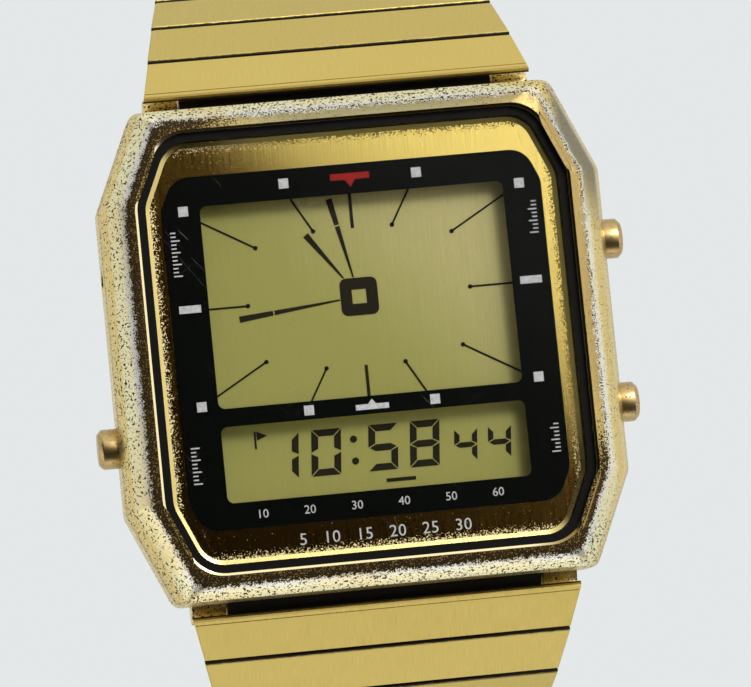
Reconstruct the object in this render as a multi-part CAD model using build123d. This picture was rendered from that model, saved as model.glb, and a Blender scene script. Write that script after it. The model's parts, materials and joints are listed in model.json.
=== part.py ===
from build123d import *
import os
from math import cos, radians, sin, sqrt, tan

# Quartz wristwatch with a square-shouldered metal case, a liquid crystal dial under a
# mineral crystal, and a tapered bracelet of full-width links closed by a fold-over clasp.
# +X points to 3 o'clock, +Y to 12 o'clock and +Z out of the face. The closed bracelet
# stands on the flat outer face of its clasp, at Z = 0. All sizes are in millimetres.

# One overrun serves every cut
overrun = 0.5

# Case outline
case_half_x = 16.75
case_half_y = 16.35
case_shoulder_drop = 6.25
case_corner_cut = 2.75
case_edge_radius = 0.9

# Case heights, all measured down from the top ridge of the bezel
ridge_depth = 0.35
facet_depth = 1.35
flank_depth = 2.7
case_bottom_depth = 7.5
base_height = 1.5

# How far each level of the bezel stands in from the widest outline
ridge_inset_x = 1.6
ridge_inset_y = 0.96
facet_inset_x = 0.56
facet_inset_y = 0.15
bottom_inset = 1.1

# Crystal, its gasket and its seat
bezel_width_x = 3.05
bezel_width_y = 2.42
crystal_shoulder_drop = 4.03
crystal_corner_radius = 2.0
crystal_thickness = 1.6
crystal_rise = 0.15
crystal_bevel = 0.3
gasket_width = 0.57
gasket_top_depth = 0.5
gasket_fit = 0.02
seat_spare = 0.35
seat_width_x = 0.8
seat_width_y = 0.73
cavity_corner_radius = 2.0

# Printed plates under the crystal
print_gap = 0.05
mark_thickness = 0.05
plate_thickness = 0.1
frame_margin = 0.15
frame_band_x = 1.05
frame_band_y = 2.24
mask_corner_radius = 1.6
mask_shoulder_drop = 2.1
mask_fit = 0.02
window_side_band = 2.55
window_top_band = 1.99
window_bottom_band = 1.74
window_bar_width = 1.2
lower_window_height = 5.02
window_corner_radius = 0.45

# Dial marks around the upper window
mark_size = 0.65
mark_corner_gap = 1.1
mark_corner_drop = 0.245
upper_row_x = 4.42
lower_row_x = 4.19
mark_row_gap = 1.05
row_bar_offset = 0.12
hour_bar_gap = 1.25
hour_bar_length = 1.45
hour_bar_width = 0.5
six_bar_length = 2.2
six_bar_width = 0.36
twelve_bar_length = 2.6
twelve_bar_width = 0.42
twelve_triangle_half = 0.42
twelve_triangle_height = 0.5
six_triangle_half = 0.35
six_triangle_height = 0.33

# Liquid crystal panel and its lit segments
lcd_margin_x = 1.1
lcd_margin_y = 0.9
lcd_thickness = 1.1
lcd_sink = 0.7
segment_thickness = 0.03
segment_gap = 0.05
reflector_thickness = 0.15
hub_outer = 2.5
hub_inner = 0.95
hub_corner_radius = 0.45
tick_width = 0.13
plain_tick_width = 0.21
tick_dot_radius = 0.15
tick_outer_share = 1.02
tick_inner_shares = (0.68, 0.68, 0.65, 0.735, 0.65, 0.68)
hand_root_width = 0.1
hand_tip_width = 0.42
minute_hand_extra = 0.05
hour_hand_shorter = 1.38
second_hand_margin = 2.0
hand_break_share = 0.66
minute_angle = 348
hour_angle = 324
second_angle = 264
digit_height = 3.05
digit_width = 1.97
small_digit_height = 2.13
small_digit_width = 1.54
digit_stroke = 0.45
small_digit_stroke = 0.35
digit_base_gap = 1.32
small_digit_base_gap = 1.43
last_digit_margin = 0.98
small_digit_pitch = 2.27
seconds_gap = 2.71
digit_pitch = 2.77
colon_gap = 1.92
hours_gap = 3.8
ten_hours_pitch = 2.82
colon_dot_radius = 0.235
colon_height_shares = (0.252, 0.728)
digit_slant_angle = 5.0
mode_bar_length = 1.96
mode_bar_width = 0.24
mode_bar_drop = 0.69
mode_bar_gap = 1.785
pennant_margin_x = 2.3
pennant_margin_y = 0.41
pennant_pole_height = 1.14
pennant_pole_width = 0.13
pennant_length = 0.7
pennant_height = 0.6
hour_digits = (1, 0)
minute_digits = (5, 8)
second_digits = (4, 4)

# The seven strokes of a digit: a top, b and c right, d bottom, e and f left, g middle
segments_of_digit = {0: "abcdef", 1: "bc", 4: "fgbc", 5: "afgcd", 8: "abcdefg"}

# Module inside the case
module_fit_x = 0.6
module_fit_y = 0.3
module_corner_radius = 1.4
module_top_gap = 0.1
module_floor_height = 2.9
lcd_fit = 0.1
connector_width = 1.0
connector_inset_y = 0.9
board_inset = 0.75
board_thickness = 0.6
chip_side = 4.2
chip_height = 0.8
chip_center_x = -5.0
chip_center_y = 6.5
crystal_can_radius = 0.75
crystal_can_length = 5.2
crystal_can_inset_x = 2.75
crystal_can_inset_y = 4.15
battery_radius = 4.75
battery_height = 1.55
battery_center_x = 3.4
battery_center_y = -5.0
battery_gap = 0.05
battery_edge_radius = 0.1
clamp_thickness = 0.15
clamp_width = 2.4
clamp_fit = 0.1
lamp_radius = 0.4
lamp_length = 1.5
lamp_offset = 0.45
lamp_y = 0.0
buzzer_radius = 3.6
buzzer_thickness = 0.2
buzzer_inset_x = 2.7
buzzer_inset_y = 2.8
buzzer_spring_radius = 0.6
buzzer_spring_wire = 0.15

# Case back, its seal and its screws
back_inset_x = 0.95
back_inset_y = 1.15
back_corner_radius = 2.7
back_thickness = 0.8
back_seal_width = 0.4
back_seal_height = 0.35
screw_inset_x = 1.15
screw_inset_y = 1.7
screw_head_radius = 0.75
screw_head_height = 0.4
screw_shank_radius = 0.4
screw_shank_length = 1.5
screw_slot_width = 0.22
screw_slot_depth = 0.15
screw_fit = 0.05

# Pushers
button_y = 5.5
button_drop = 0.15
button_cap_radius = 1.33
button_cap_length = 1.35
button_cap_edge = 0.3
adjust_cap_edge = 0.2
button_skirt_length = 0.35
button_stem_radius = 0.55
button_stem_reach = 0.35
button_clip_radius = 1.0
button_clip_thickness = 0.25
button_clip_gap = 0.04
button_fit = 0.05
button_bore_spare = 0.1
button_room = 0.15
button_travel = 0.8
adjust_cap_sink = 0.25
adjust_cap_radius = 0.95
spring_outer_radius = 1.05
spring_wall = 0.2
spring_length = 0.35
seal_outer_radius = 1.0
seal_width = 0.7
seal_inset = 0.5

# Lugs and spring bars
horn_inset_x = 1.1
horn_width = 2.25
horn_radius = 1.35
notch_length = 1.5
notch_clearance = 0.2
lug_pivot_inset = 0.15
lug_pivot_rise = 1.6
spring_bar_radius = 0.75
spring_bar_sink = 1.95
lug_fit = 0.05

# Bracelet
links_per_side = 12
link_pitch = 3.8
end_plate_length = 3.5
end_plate_gap = 1.04
end_plate_rise = 2.5
end_slope_angle = 41.0
first_bend_angle = 5.8
last_slope_angle = 172.0
plate_surface = 1.35
link_plate_thickness = 0.45
link_edge = 0.1
link_gap = 0.12
knuckle_radius = 0.8
knuckle_space = 0.15
center_knuckle_half = 4.0
knuckle_side_gap = 0.1
side_knuckle_width = 2.5
web_half_height = 0.45
pin_radius = 0.4
pin_fit = 0.06
end_link_inset_x = 1.05
narrow_half_x = 8.0
link_taper = 0.67
end_tube_radius = 1.15
end_tube_gap = 0.15
end_web_start = 1.0
end_web_length = 1.6
end_lip_width = 0.35
end_lip_depth = 0.06

# Clasp
clasp_axis_height = 1.7
clasp_half_x = 8.5
clasp_wall = 0.6
clasp_wall_rise = 2.3
clasp_floor = 0.55
clasp_end_a = 2.7
clasp_end_b = 2.8
clasp_tab_length = 0.5
clasp_tab_half = 3.0
clasp_curl_angle = 25.0
base_blade_half = 7.4
base_blade_thickness = 0.8
base_blade_depth = 0.9
middle_blade_half = 6.2
middle_blade_thickness = 0.7
blade_knuckle_radius = 0.75
blade_center_half = 2.4
blade_slot_length = 9.0
blade_slot_half = 1.6

# Outlines worked out from the case inwards
case_shoulder_y = case_half_y - case_shoulder_drop
case_corner_x = case_half_x - case_corner_cut
chamfer_lean = case_corner_cut / case_shoulder_drop
shoulder_shift = (sqrt(1 + chamfer_lean ** 2) - 1) / chamfer_lean
crystal_half_x = case_half_x - bezel_width_x
crystal_half_y = case_half_y - bezel_width_y
crystal_shoulder_y = crystal_half_y - crystal_shoulder_drop
cavity_half_x = crystal_half_x - seat_width_x
cavity_half_y = crystal_half_y - seat_width_y
mask_half_x = crystal_half_x - frame_band_x
mask_half_y = crystal_half_y - frame_band_y
window_half_x = mask_half_x - window_side_band
upper_window_top_y = mask_half_y - window_top_band
lower_window_bottom_y = -mask_half_y + window_bottom_band
lower_window_top_y = lower_window_bottom_y + lower_window_height
upper_window_bottom_y = lower_window_top_y + window_bar_width
lcd_half_x = window_half_x + lcd_margin_x
lcd_half_y = upper_window_top_y + lcd_margin_y
module_half_x = cavity_half_x - module_fit_x
module_half_y = cavity_half_y - module_fit_y
board_half_x = module_half_x - board_inset
board_half_y = module_half_y - board_inset
back_half_x = case_half_x - bottom_inset - back_inset_x
back_half_y = case_half_y - bottom_inset - back_inset_y

# Depths worked out from the crystal downwards, and from the case back upwards
crystal_bottom_depth = crystal_thickness - crystal_rise
mark_top_depth = crystal_bottom_depth + print_gap
plate_top_depth = mark_top_depth + mark_thickness
seat_depth = plate_top_depth + plate_thickness + seat_spare
module_top_depth = seat_depth + module_top_gap
lcd_depth = module_top_depth + lcd_sink
belly_depth = case_bottom_depth - base_height
module_bottom_depth = case_bottom_depth - module_floor_height
board_top_depth = module_bottom_depth
board_bottom_depth = board_top_depth + board_thickness

# Places of the dial's marks, hands and digits
hub_y = (upper_window_top_y + upper_window_bottom_y) / 2
hub_reach = upper_window_top_y - hub_y
mark_corner_x = window_half_x + mark_corner_gap
mark_corner_y = hub_reach - mark_corner_drop
upper_row_y = upper_window_top_y + mark_row_gap
lower_row_y = (upper_window_bottom_y + lower_window_top_y) / 2
hour_bar_x = window_half_x + hour_bar_gap
minute_hand_length = hub_reach + minute_hand_extra
hour_hand_length = minute_hand_length - hour_hand_shorter
second_hand_length = window_half_x - second_hand_margin
digit_base_y = lower_window_bottom_y + digit_base_gap
small_digit_base_y = lower_window_bottom_y + small_digit_base_gap
last_digit_x = window_half_x - last_digit_margin - small_digit_width / 2
small_digit_centers_x = (last_digit_x - small_digit_pitch, last_digit_x)
minutes_x = small_digit_centers_x[0] - seconds_gap
hours_x = minutes_x - digit_pitch - hours_gap
digit_centers_x = (hours_x - ten_hours_pitch, hours_x, minutes_x - digit_pitch, minutes_x)
colon_x = minutes_x - digit_pitch - colon_gap
digit_lean = tan(radians(digit_slant_angle))
pennant_x = -window_half_x + pennant_margin_x
pennant_top_y = lower_window_top_y - pennant_margin_y

# Places of the pieces around and inside the case
lamp_x = lcd_half_x + lamp_offset
crystal_can_x = board_half_x - crystal_can_inset_x - crystal_can_length / 2
crystal_can_y = board_half_y - crystal_can_inset_y
buzzer_center_x = -(cavity_half_x - buzzer_inset_x - buzzer_radius)
buzzer_center_y = -(cavity_half_y - buzzer_inset_y - buzzer_radius)
screw_x = back_half_x - screw_inset_x
screw_y = back_half_y - screw_inset_y
button_depth = (flank_depth + belly_depth) / 2 + button_drop
button_bore_depth = button_skirt_length + button_travel + spring_length + button_bore_spare
horn_outer_x = case_corner_x - horn_inset_x
notch_half_x = horn_outer_x - horn_width
spring_bar_half = notch_half_x + spring_bar_sink
lug_pivot_y = case_half_y - lug_pivot_inset
lug_pivot_depth = case_bottom_depth - lug_pivot_rise
notch_depth_y = lug_pivot_y - notch_length
end_plate_front_y = case_half_y + end_plate_gap
end_plate_front_depth = lug_pivot_depth - end_plate_rise
notch_top_depth = end_plate_front_depth - notch_clearance
end_link_half_x = case_corner_x - end_link_inset_x
end_plate_to_pivot = end_plate_length + link_gap / 2

# How the bend from link to link grows along the chain
even_bend = (last_slope_angle - end_slope_angle) / links_per_side
bend_growth = (even_bend - first_bend_angle) / links_per_side


def slope_of(index):
    # Downward slope of one link in degrees; the end link has index 0
    return end_slope_angle + first_bend_angle * index + bend_growth * index ** 2


def chain_pivots():
    # Hinge places as (distance from the middle, depth below the bezel), case side first
    tilt = radians(end_slope_angle)
    along = end_plate_to_pivot
    y = end_plate_front_y + along * cos(tilt) - plate_surface * sin(tilt)
    depth = end_plate_front_depth + along * sin(tilt) + plate_surface * cos(tilt)
    pivots = [(y, depth)]
    for index in range(1, links_per_side + 1):
        tilt = radians(slope_of(index))
        y += link_pitch * cos(tilt)
        depth += link_pitch * sin(tilt)
        pivots.append((y, depth))
    return pivots


pivots = chain_pivots()
clasp_pivot_y = pivots[-1][0]
bezel_top_z = pivots[-1][1] + clasp_axis_height
hinge_a_y = clasp_pivot_y - clasp_end_a
hinge_b_y = -clasp_pivot_y + clasp_end_b


def height(depth):
    # Height above the standing surface of a point given by its depth below the bezel
    return bezel_top_z - depth


def cushion(half_x, half_y, shoulder_y, radius):
    # Eight-sided outline whose corners lean like those of the case
    corner_x = half_x - (half_y - shoulder_y) * chamfer_lean
    points = [
        (corner_x, half_y), (half_x, shoulder_y), (half_x, -shoulder_y), (corner_x, -half_y),
        (-corner_x, -half_y), (-half_x, -shoulder_y), (-half_x, shoulder_y), (-corner_x, half_y),
    ]
    face = make_face(Polyline(*points, close=True))
    return fillet(face.vertices(), radius)


def case_outline(inset_x, inset_y):
    shoulder = case_shoulder_y - inset_x * shoulder_shift
    return cushion(case_half_x - inset_x, case_half_y - inset_y, shoulder, case_edge_radius)


def crystal_outline(grow):
    shoulder = crystal_shoulder_y + grow * shoulder_shift
    radius = crystal_corner_radius + grow
    return cushion(crystal_half_x + grow, crystal_half_y + grow, shoulder, radius)


def slab(face, top_depth, bottom_depth):
    # A flat outline given body between two depths below the bezel
    return Pos(0, 0, height(bottom_depth)) * extrude(face, amount=bottom_depth - top_depth)


def rounded(half_x, half_y, radius):
    return RectangleRounded(2 * half_x, 2 * half_y, radius)


def bar_x(radius, x_from, x_to, y, z):
    # A round bar along X
    length = x_to - x_from
    middle = (x_from + x_to) / 2
    return Pos(middle, y, z) * Rot(0, 90, 0) * Cylinder(radius, length)


def block(x_from, x_to, y_from, y_to, z_from, z_to):
    center = Pos((x_from + x_to) / 2, (y_from + y_to) / 2, (z_from + z_to) / 2)
    return center * Box(x_to - x_from, y_to - y_from, z_to - z_from)


def save(name, shape):
    os.makedirs("parts", exist_ok=True)
    solids = shape.solids() if hasattr(shape, "solids") else shape
    export_step(Compound(children=list(solids)), "parts/" + name + ".step")


# Case middle with its bezel facets, lugs and button bores
def bezel_opening():
    return crystal_outline(gasket_width + gasket_fit)


def case_shell():
    inner = cushion(
        crystal_half_x + gasket_width + gasket_fit + frame_margin,
        crystal_half_y + gasket_width + gasket_fit + frame_margin,
        crystal_shoulder_y + gasket_width * shoulder_shift,
        crystal_corner_radius + gasket_width,
    )
    top = Pos(0, 0, height(0)) * inner
    ridge = Pos(0, 0, height(ridge_depth)) * case_outline(ridge_inset_x, ridge_inset_y)
    facet = Pos(0, 0, height(facet_depth)) * case_outline(facet_inset_x, facet_inset_y)
    flank = Pos(0, 0, height(flank_depth)) * case_outline(0, 0)
    belly = Pos(0, 0, height(belly_depth)) * case_outline(0, 0)
    base = Pos(0, 0, height(case_bottom_depth)) * case_outline(bottom_inset, bottom_inset)
    return loft([base, belly, flank, facet, ridge, top], ruled=True)


def horn(side_x, side_y):
    x_from = min(side_x * notch_half_x, side_x * horn_outer_x)
    x_to = max(side_x * notch_half_x, side_x * horn_outer_x)
    center_z = height(lug_pivot_depth)
    tip = bar_x(horn_radius, x_from, x_to, side_y * lug_pivot_y, center_z)
    y_near = side_y * notch_depth_y
    y_far = side_y * lug_pivot_y
    root = block(x_from, x_to, min(y_near, y_far), max(y_near, y_far),
                 center_z - horn_radius, center_z + horn_radius)
    return tip + root


def lug_notch(side_y):
    y_near = side_y * notch_depth_y
    y_far = side_y * (case_half_y + overrun)
    return block(-notch_half_x, notch_half_x, min(y_near, y_far), max(y_near, y_far),
                 height(case_bottom_depth + overrun), height(notch_top_depth))


def button_sides():
    # Name, side of the case in X and in Y, and whether the cap is sunk
    return [
        ("mode_button", -1, -1, False),
        ("adjust_button", -1, 1, True),
        ("light_button", 1, 1, False),
        ("date_button", 1, -1, False),
    ]


def cap_radius(sunk):
    return adjust_cap_radius if sunk else button_cap_radius


def button_bore(side_x, side_y, sunk):
    y = side_y * button_y
    z = height(button_depth)
    floor_x = case_half_x - button_bore_depth
    outer = bar_x(cap_radius(sunk) + button_fit, floor_x, case_half_x + overrun, 0, 0)
    stem = bar_x(button_stem_radius + button_fit, cavity_half_x - overrun, floor_x + overrun, 0, 0)
    seal_x = cavity_half_x + seal_inset
    seal = bar_x(seal_outer_radius, seal_x, seal_x + seal_width, 0, 0)
    bore = outer + stem + seal
    if side_x < 0:
        bore = mirror(bore, about=Plane.YZ)
    return Pos(0, y, z) * bore


def case_middle():
    body = case_shell()
    body -= slab(bezel_opening(), -overrun, seat_depth)
    cavity = rounded(cavity_half_x, cavity_half_y, cavity_corner_radius)
    body -= slab(cavity, seat_depth - overrun, case_bottom_depth + overrun)
    for side_y in (-1, 1):
        body -= lug_notch(side_y)
        for side_x in (-1, 1):
            body += horn(side_x, side_y)
        body -= bar_x(spring_bar_radius, -spring_bar_half, spring_bar_half,
                      side_y * lug_pivot_y, height(lug_pivot_depth))
    for name, side_x, side_y, sunk in button_sides():
        body -= button_bore(side_x, side_y, sunk)
    for x, y in screw_places():
        hole_top = case_bottom_depth - screw_shank_length + screw_head_height
        body -= Pos(x, y, 0) * slab(Circle(screw_shank_radius), hole_top, case_bottom_depth + overrun)
    body -= back_seal_ring(0)
    return body


# Crystal and gasket
def crystal():
    body = slab(crystal_outline(0), -crystal_rise, crystal_bottom_depth)
    return chamfer(body.faces().sort_by(Axis.Z)[-1].edges(), crystal_bevel)


def crystal_gasket():
    ring = crystal_outline(gasket_width) - crystal_outline(gasket_fit)
    return slab(ring, gasket_top_depth, seat_depth)


# Printed plates
def mask_outline(grow):
    shoulder = mask_half_y - mask_shoulder_drop
    return cushion(mask_half_x + grow, mask_half_y + grow, shoulder, mask_corner_radius)


def windows():
    faces = []
    for bottom, top in ((upper_window_bottom_y, upper_window_top_y),
                        (lower_window_bottom_y, lower_window_top_y)):
        face = rounded(window_half_x, (top - bottom) / 2, window_corner_radius)
        faces.append(Pos(0, (top + bottom) / 2) * face)
    return faces


def face_frame():
    plate = crystal_outline(-frame_margin) - mask_outline(mask_fit)
    return slab(plate, plate_top_depth, plate_top_depth + plate_thickness)


def black_mask():
    plate = mask_outline(0)
    for window in windows():
        plate -= window
    return slab(plate, plate_top_depth, plate_top_depth + plate_thickness)


def triangle_bar(length, width, half, tall, side_y):
    # A bar with a small triangle that points at the middle of the dial
    bar = Rectangle(length, width)
    tip = -side_y * (width / 2 + tall)
    edge = -side_y * width / 4
    points = [(-half, edge), (half, edge), (0, tip)]
    return bar + make_face(Polyline(*points, close=True))


def dial_mark_faces():
    faces = []
    square = Rectangle(mark_size, mark_size)
    for side_x in (-1, 1):
        faces.append(Pos(side_x * hour_bar_x, hub_y) * Rectangle(hour_bar_length, hour_bar_width))
        faces.append(Pos(side_x * upper_row_x, upper_row_y) * square)
        faces.append(Pos(side_x * lower_row_x, lower_row_y) * square)
        for side_y in (-1, 1):
            faces.append(Pos(side_x * mark_corner_x, hub_y + side_y * mark_corner_y) * square)
    six_bar = triangle_bar(six_bar_length, six_bar_width, six_triangle_half, six_triangle_height, -1)
    faces.append(Pos(0, lower_row_y - row_bar_offset) * six_bar)
    return faces


def raised_marks(faces):
    return Compound(children=[slab(face, mark_top_depth, plate_top_depth) for face in faces])


def dial_marks():
    return raised_marks(dial_mark_faces())


def twelve_mark():
    bar = triangle_bar(twelve_bar_length, twelve_bar_width, twelve_triangle_half,
                       twelve_triangle_height, 1)
    return raised_marks([Pos(0, upper_row_y + row_bar_offset) * bar])


# Liquid crystal panel
def lcd_panel():
    return slab(Rectangle(2 * lcd_half_x, 2 * lcd_half_y), lcd_depth, lcd_depth + lcd_thickness)


def lcd_reflector():
    top = lcd_depth + lcd_thickness
    return slab(Rectangle(2 * lcd_half_x, 2 * lcd_half_y), top, top + reflector_thickness)


def pointer(angle, start, end, root_width, tip_width):
    # A straight stroke from the hub, at an angle clockwise from 12 o'clock
    points = [(-root_width / 2, start), (root_width / 2, start),
              (tip_width / 2, end), (-tip_width / 2, end)]
    return Pos(0, hub_y) * Rot(0, 0, -angle) * make_face(Polyline(*points, close=True))


def tick_faces():
    # Twelve strokes from the edge of the window towards the hub, ten of them with a dot
    faces = []
    for hour in range(12):
        angle = 30 * hour
        away = max(abs(sin(radians(angle))) / window_half_x, abs(cos(radians(angle))) / hub_reach)
        outer = tick_outer_share / away
        inner = tick_inner_shares[hour % 6] / away
        if hour % 6 == 0:
            faces.append(pointer(angle, inner, outer, plain_tick_width, plain_tick_width))
            continue
        faces.append(pointer(angle, inner, outer, tick_width, tick_width))
        dot = Pos(0, hub_y) * Rot(0, 0, -angle) * Pos(0, inner) * Circle(tick_dot_radius)
        faces.append(dot)
    return faces


def hand_start(angle):
    # Where a hand leaves the square hub
    steepest = max(abs(sin(radians(angle))), abs(cos(radians(angle))))
    return hub_outer / 2 / steepest + segment_gap


def whole_hand(angle, length):
    return [pointer(angle, hand_start(angle), length, hand_root_width, hand_tip_width)]


def broken_hand(angle, length):
    # A hand of two segments with a narrow break between them
    start = hand_start(angle)
    split = start + (length - start) * hand_break_share
    split_width = hand_root_width + (hand_tip_width - hand_root_width) * hand_break_share
    root = pointer(angle, start, split - segment_gap, hand_root_width, split_width)
    tip = pointer(angle, split + segment_gap, length, split_width, hand_tip_width)
    return [root, tip]


def hand_faces():
    faces = whole_hand(hour_angle, hour_hand_length)
    faces += broken_hand(minute_angle, minute_hand_length)
    faces += broken_hand(second_angle, second_hand_length)
    return faces


def hub_face():
    square = RectangleRounded(hub_outer, hub_outer, hub_corner_radius)
    return Pos(0, hub_y) * (square - Rectangle(hub_inner, hub_inner))


def stroke_outlines(half_x, half_y, stroke):
    # Outline of each stroke about the middle of the digit, and its side in X and in Y
    inner_x = half_x - stroke
    inner_y = half_y - stroke
    level = [(segment_gap - half_x, half_y), (half_x - segment_gap, half_y),
             (inner_x - segment_gap, inner_y), (segment_gap - inner_x, inner_y)]
    upright = [(half_x, half_y - segment_gap), (half_x, segment_gap),
               (inner_x, stroke / 2 + segment_gap), (inner_x, inner_y - segment_gap)]
    middle = [(half_x - 2 * segment_gap, 0), (inner_x - segment_gap, stroke / 2),
              (segment_gap - inner_x, stroke / 2), (2 * segment_gap - half_x, 0),
              (segment_gap - inner_x, -stroke / 2), (inner_x - segment_gap, -stroke / 2)]
    return {
        "a": (level, 1, 1), "d": (level, 1, -1), "g": (middle, 1, 1),
        "b": (upright, 1, 1), "c": (upright, 1, -1), "f": (upright, -1, 1), "e": (upright, -1, -1),
    }


def digit_faces(digit, center_x, base_y, width, tall, stroke):
    # A seven-stroke digit with mitred ends that leans to the right
    outlines = stroke_outlines(width / 2, tall / 2, stroke)
    faces = []
    for key in segments_of_digit[digit]:
        outline, side_x, side_y = outlines[key]
        points = []
        for x, y in outline:
            above = side_y * y
            points.append((center_x + side_x * x + digit_lean * above, base_y + tall / 2 + above))
        faces.append(make_face(Polyline(*points, close=True)))
    return faces


def colon_faces():
    faces = []
    for share in colon_height_shares:
        place = Pos(colon_x, digit_base_y + digit_height * share)
        faces.append(place * Circle(colon_dot_radius))
    return faces


def pennant_faces():
    # A small flag on its pole and a bar under the minutes: two signs of the panel
    pole = Pos(pennant_x, pennant_top_y - pennant_pole_height / 2) * Rectangle(
        pennant_pole_width, pennant_pole_height)
    near_x = pennant_x + pennant_pole_width / 2 + segment_gap
    points = [(near_x, pennant_top_y), (near_x, pennant_top_y - pennant_height),
              (near_x + pennant_length, pennant_top_y - pennant_height / 2)]
    mode_bar = Pos(minutes_x - mode_bar_gap, digit_base_y - mode_bar_drop) * Rectangle(
        mode_bar_length, mode_bar_width)
    return [pole, make_face(Polyline(*points, close=True)), mode_bar]


def lcd_segments():
    faces = tick_faces() + hand_faces() + [hub_face()] + colon_faces() + pennant_faces()
    for digit, x in zip(hour_digits + minute_digits, digit_centers_x):
        faces += digit_faces(digit, x, digit_base_y, digit_width, digit_height, digit_stroke)
    for digit, x in zip(second_digits, small_digit_centers_x):
        faces += digit_faces(digit, x, small_digit_base_y, small_digit_width,
                             small_digit_height, small_digit_stroke)
    solids = [slab(face, lcd_depth - segment_thickness, lcd_depth) for face in faces]
    return Compound(children=solids)


# Module frame, circuit board and what they carry
def button_pocket(side_x, side_y):
    # Room in the edge of the module frame for a pusher's stem and clip when it is pressed
    near_x = side_x * (cavity_half_x - button_stem_reach - button_travel - button_room)
    far_x = side_x * (module_half_x + overrun)
    y = side_y * button_y
    z = height(button_depth)
    half = button_clip_radius + button_room
    return block(min(near_x, far_x), max(near_x, far_x), y - half, y + half, z - half, z + half)


def module_frame():
    outer = rounded(module_half_x, module_half_y, module_corner_radius)
    inner = Rectangle(2 * (lcd_half_x + lcd_fit), 2 * (lcd_half_y + lcd_fit))
    body = slab(outer, module_top_depth, module_bottom_depth)
    body -= slab(inner, module_top_depth - overrun, module_bottom_depth + overrun)
    for name, side_x, side_y, sunk in button_sides():
        body -= button_pocket(side_x, side_y)
    pocket = Rectangle(2 * (lamp_radius + lcd_fit), lamp_length + 2 * lcd_fit)
    return body - slab(Pos(lamp_x, lamp_y) * pocket, lcd_depth, module_bottom_depth + overrun)


def zebra_connectors():
    # Two rubber strips between the board and the liquid crystal panel
    strips = []
    top = lcd_depth + lcd_thickness + reflector_thickness
    for side_y in (-1, 1):
        face = Pos(0, side_y * (lcd_half_y - connector_inset_y)) * Rectangle(
            2 * lcd_half_x - connector_width, connector_width)
        strips.append(slab(face, top, board_top_depth))
    return Compound(children=strips)


def lamp():
    center_depth = board_top_depth - lamp_radius - lcd_fit
    turned = Rot(90, 0, 0) * Cylinder(lamp_radius, lamp_length)
    return Pos(lamp_x, lamp_y, height(center_depth)) * turned


def circuit_board():
    face = rounded(board_half_x, board_half_y, module_corner_radius)
    return slab(face, board_top_depth, board_bottom_depth)


def controller_chip():
    face = Pos(chip_center_x, chip_center_y) * Rectangle(chip_side, chip_side)
    return slab(face, board_bottom_depth, board_bottom_depth + chip_height)


def quartz_crystal():
    can = bar_x(crystal_can_radius, crystal_can_x - crystal_can_length / 2,
                crystal_can_x + crystal_can_length / 2, crystal_can_y, 0)
    return Pos(0, 0, height(board_bottom_depth + crystal_can_radius)) * can


def battery():
    top = board_bottom_depth + battery_gap
    face = Pos(battery_center_x, battery_center_y) * Circle(battery_radius)
    body = slab(face, top, top + battery_height)
    return fillet(body.faces().sort_by(Axis.Z)[0].edges(), battery_edge_radius)


def battery_clamp():
    # A spring strip over the battery, with a foot on the board at each side
    under = board_bottom_depth + battery_gap + battery_height + battery_gap
    reach = battery_radius + clamp_fit + clamp_thickness
    strap = Rectangle(2 * reach, clamp_width)
    place = Pos(battery_center_x, battery_center_y)
    body = slab(place * strap, under, under + clamp_thickness)
    for side_x in (-1, 1):
        post_x = side_x * (reach - clamp_thickness / 2)
        post = Pos(post_x, 0) * Rectangle(clamp_thickness, clamp_width)
        body += slab(place * post, board_bottom_depth, under)
    return body


def buzzer_disc():
    face = Pos(buzzer_center_x, buzzer_center_y) * Circle(buzzer_radius)
    return slab(face, case_bottom_depth - buzzer_thickness, case_bottom_depth)


def buzzer_spring():
    face = Circle(buzzer_spring_radius) - Circle(buzzer_spring_radius - buzzer_spring_wire)
    face = Pos(buzzer_center_x, buzzer_center_y) * face
    return slab(face, board_bottom_depth, case_bottom_depth - buzzer_thickness)


# Case back
def screw_places():
    return [(side_x * screw_x, side_y * screw_y) for side_x in (-1, 1) for side_y in (-1, 1)]


def back_seal_ring(shrink):
    radius = cavity_corner_radius + back_seal_width
    outer = rounded(cavity_half_x + back_seal_width - shrink,
                    cavity_half_y + back_seal_width - shrink, radius)
    inner = rounded(cavity_half_x, cavity_half_y, cavity_corner_radius)
    return slab(outer - inner, case_bottom_depth - back_seal_height, case_bottom_depth)


def case_back():
    face = rounded(back_half_x, back_half_y, back_corner_radius)
    body = slab(face, case_bottom_depth, case_bottom_depth + back_thickness)
    for x, y in screw_places():
        place = Pos(x, y)
        body -= slab(place * Circle(screw_shank_radius + screw_fit),
                     case_bottom_depth - overrun, case_bottom_depth + back_thickness)
        body -= slab(place * Circle(screw_head_radius + screw_fit),
                     case_bottom_depth + back_thickness - screw_head_height,
                     case_bottom_depth + back_thickness + overrun)
    return body


def case_back_screws():
    screws = []
    bottom = case_bottom_depth + back_thickness
    for x, y in screw_places():
        place = Pos(x, y)
        body = slab(place * Circle(screw_head_radius), bottom - screw_head_height, bottom)
        body += slab(place * Circle(screw_shank_radius), case_bottom_depth - screw_shank_length
                     + screw_head_height, bottom - screw_head_height)
        slot = place * Rectangle(2 * screw_head_radius + overrun, screw_slot_width)
        body -= slab(slot, bottom - screw_slot_depth, bottom + overrun)
        screws.append(body)
    return Compound(children=screws)


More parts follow.
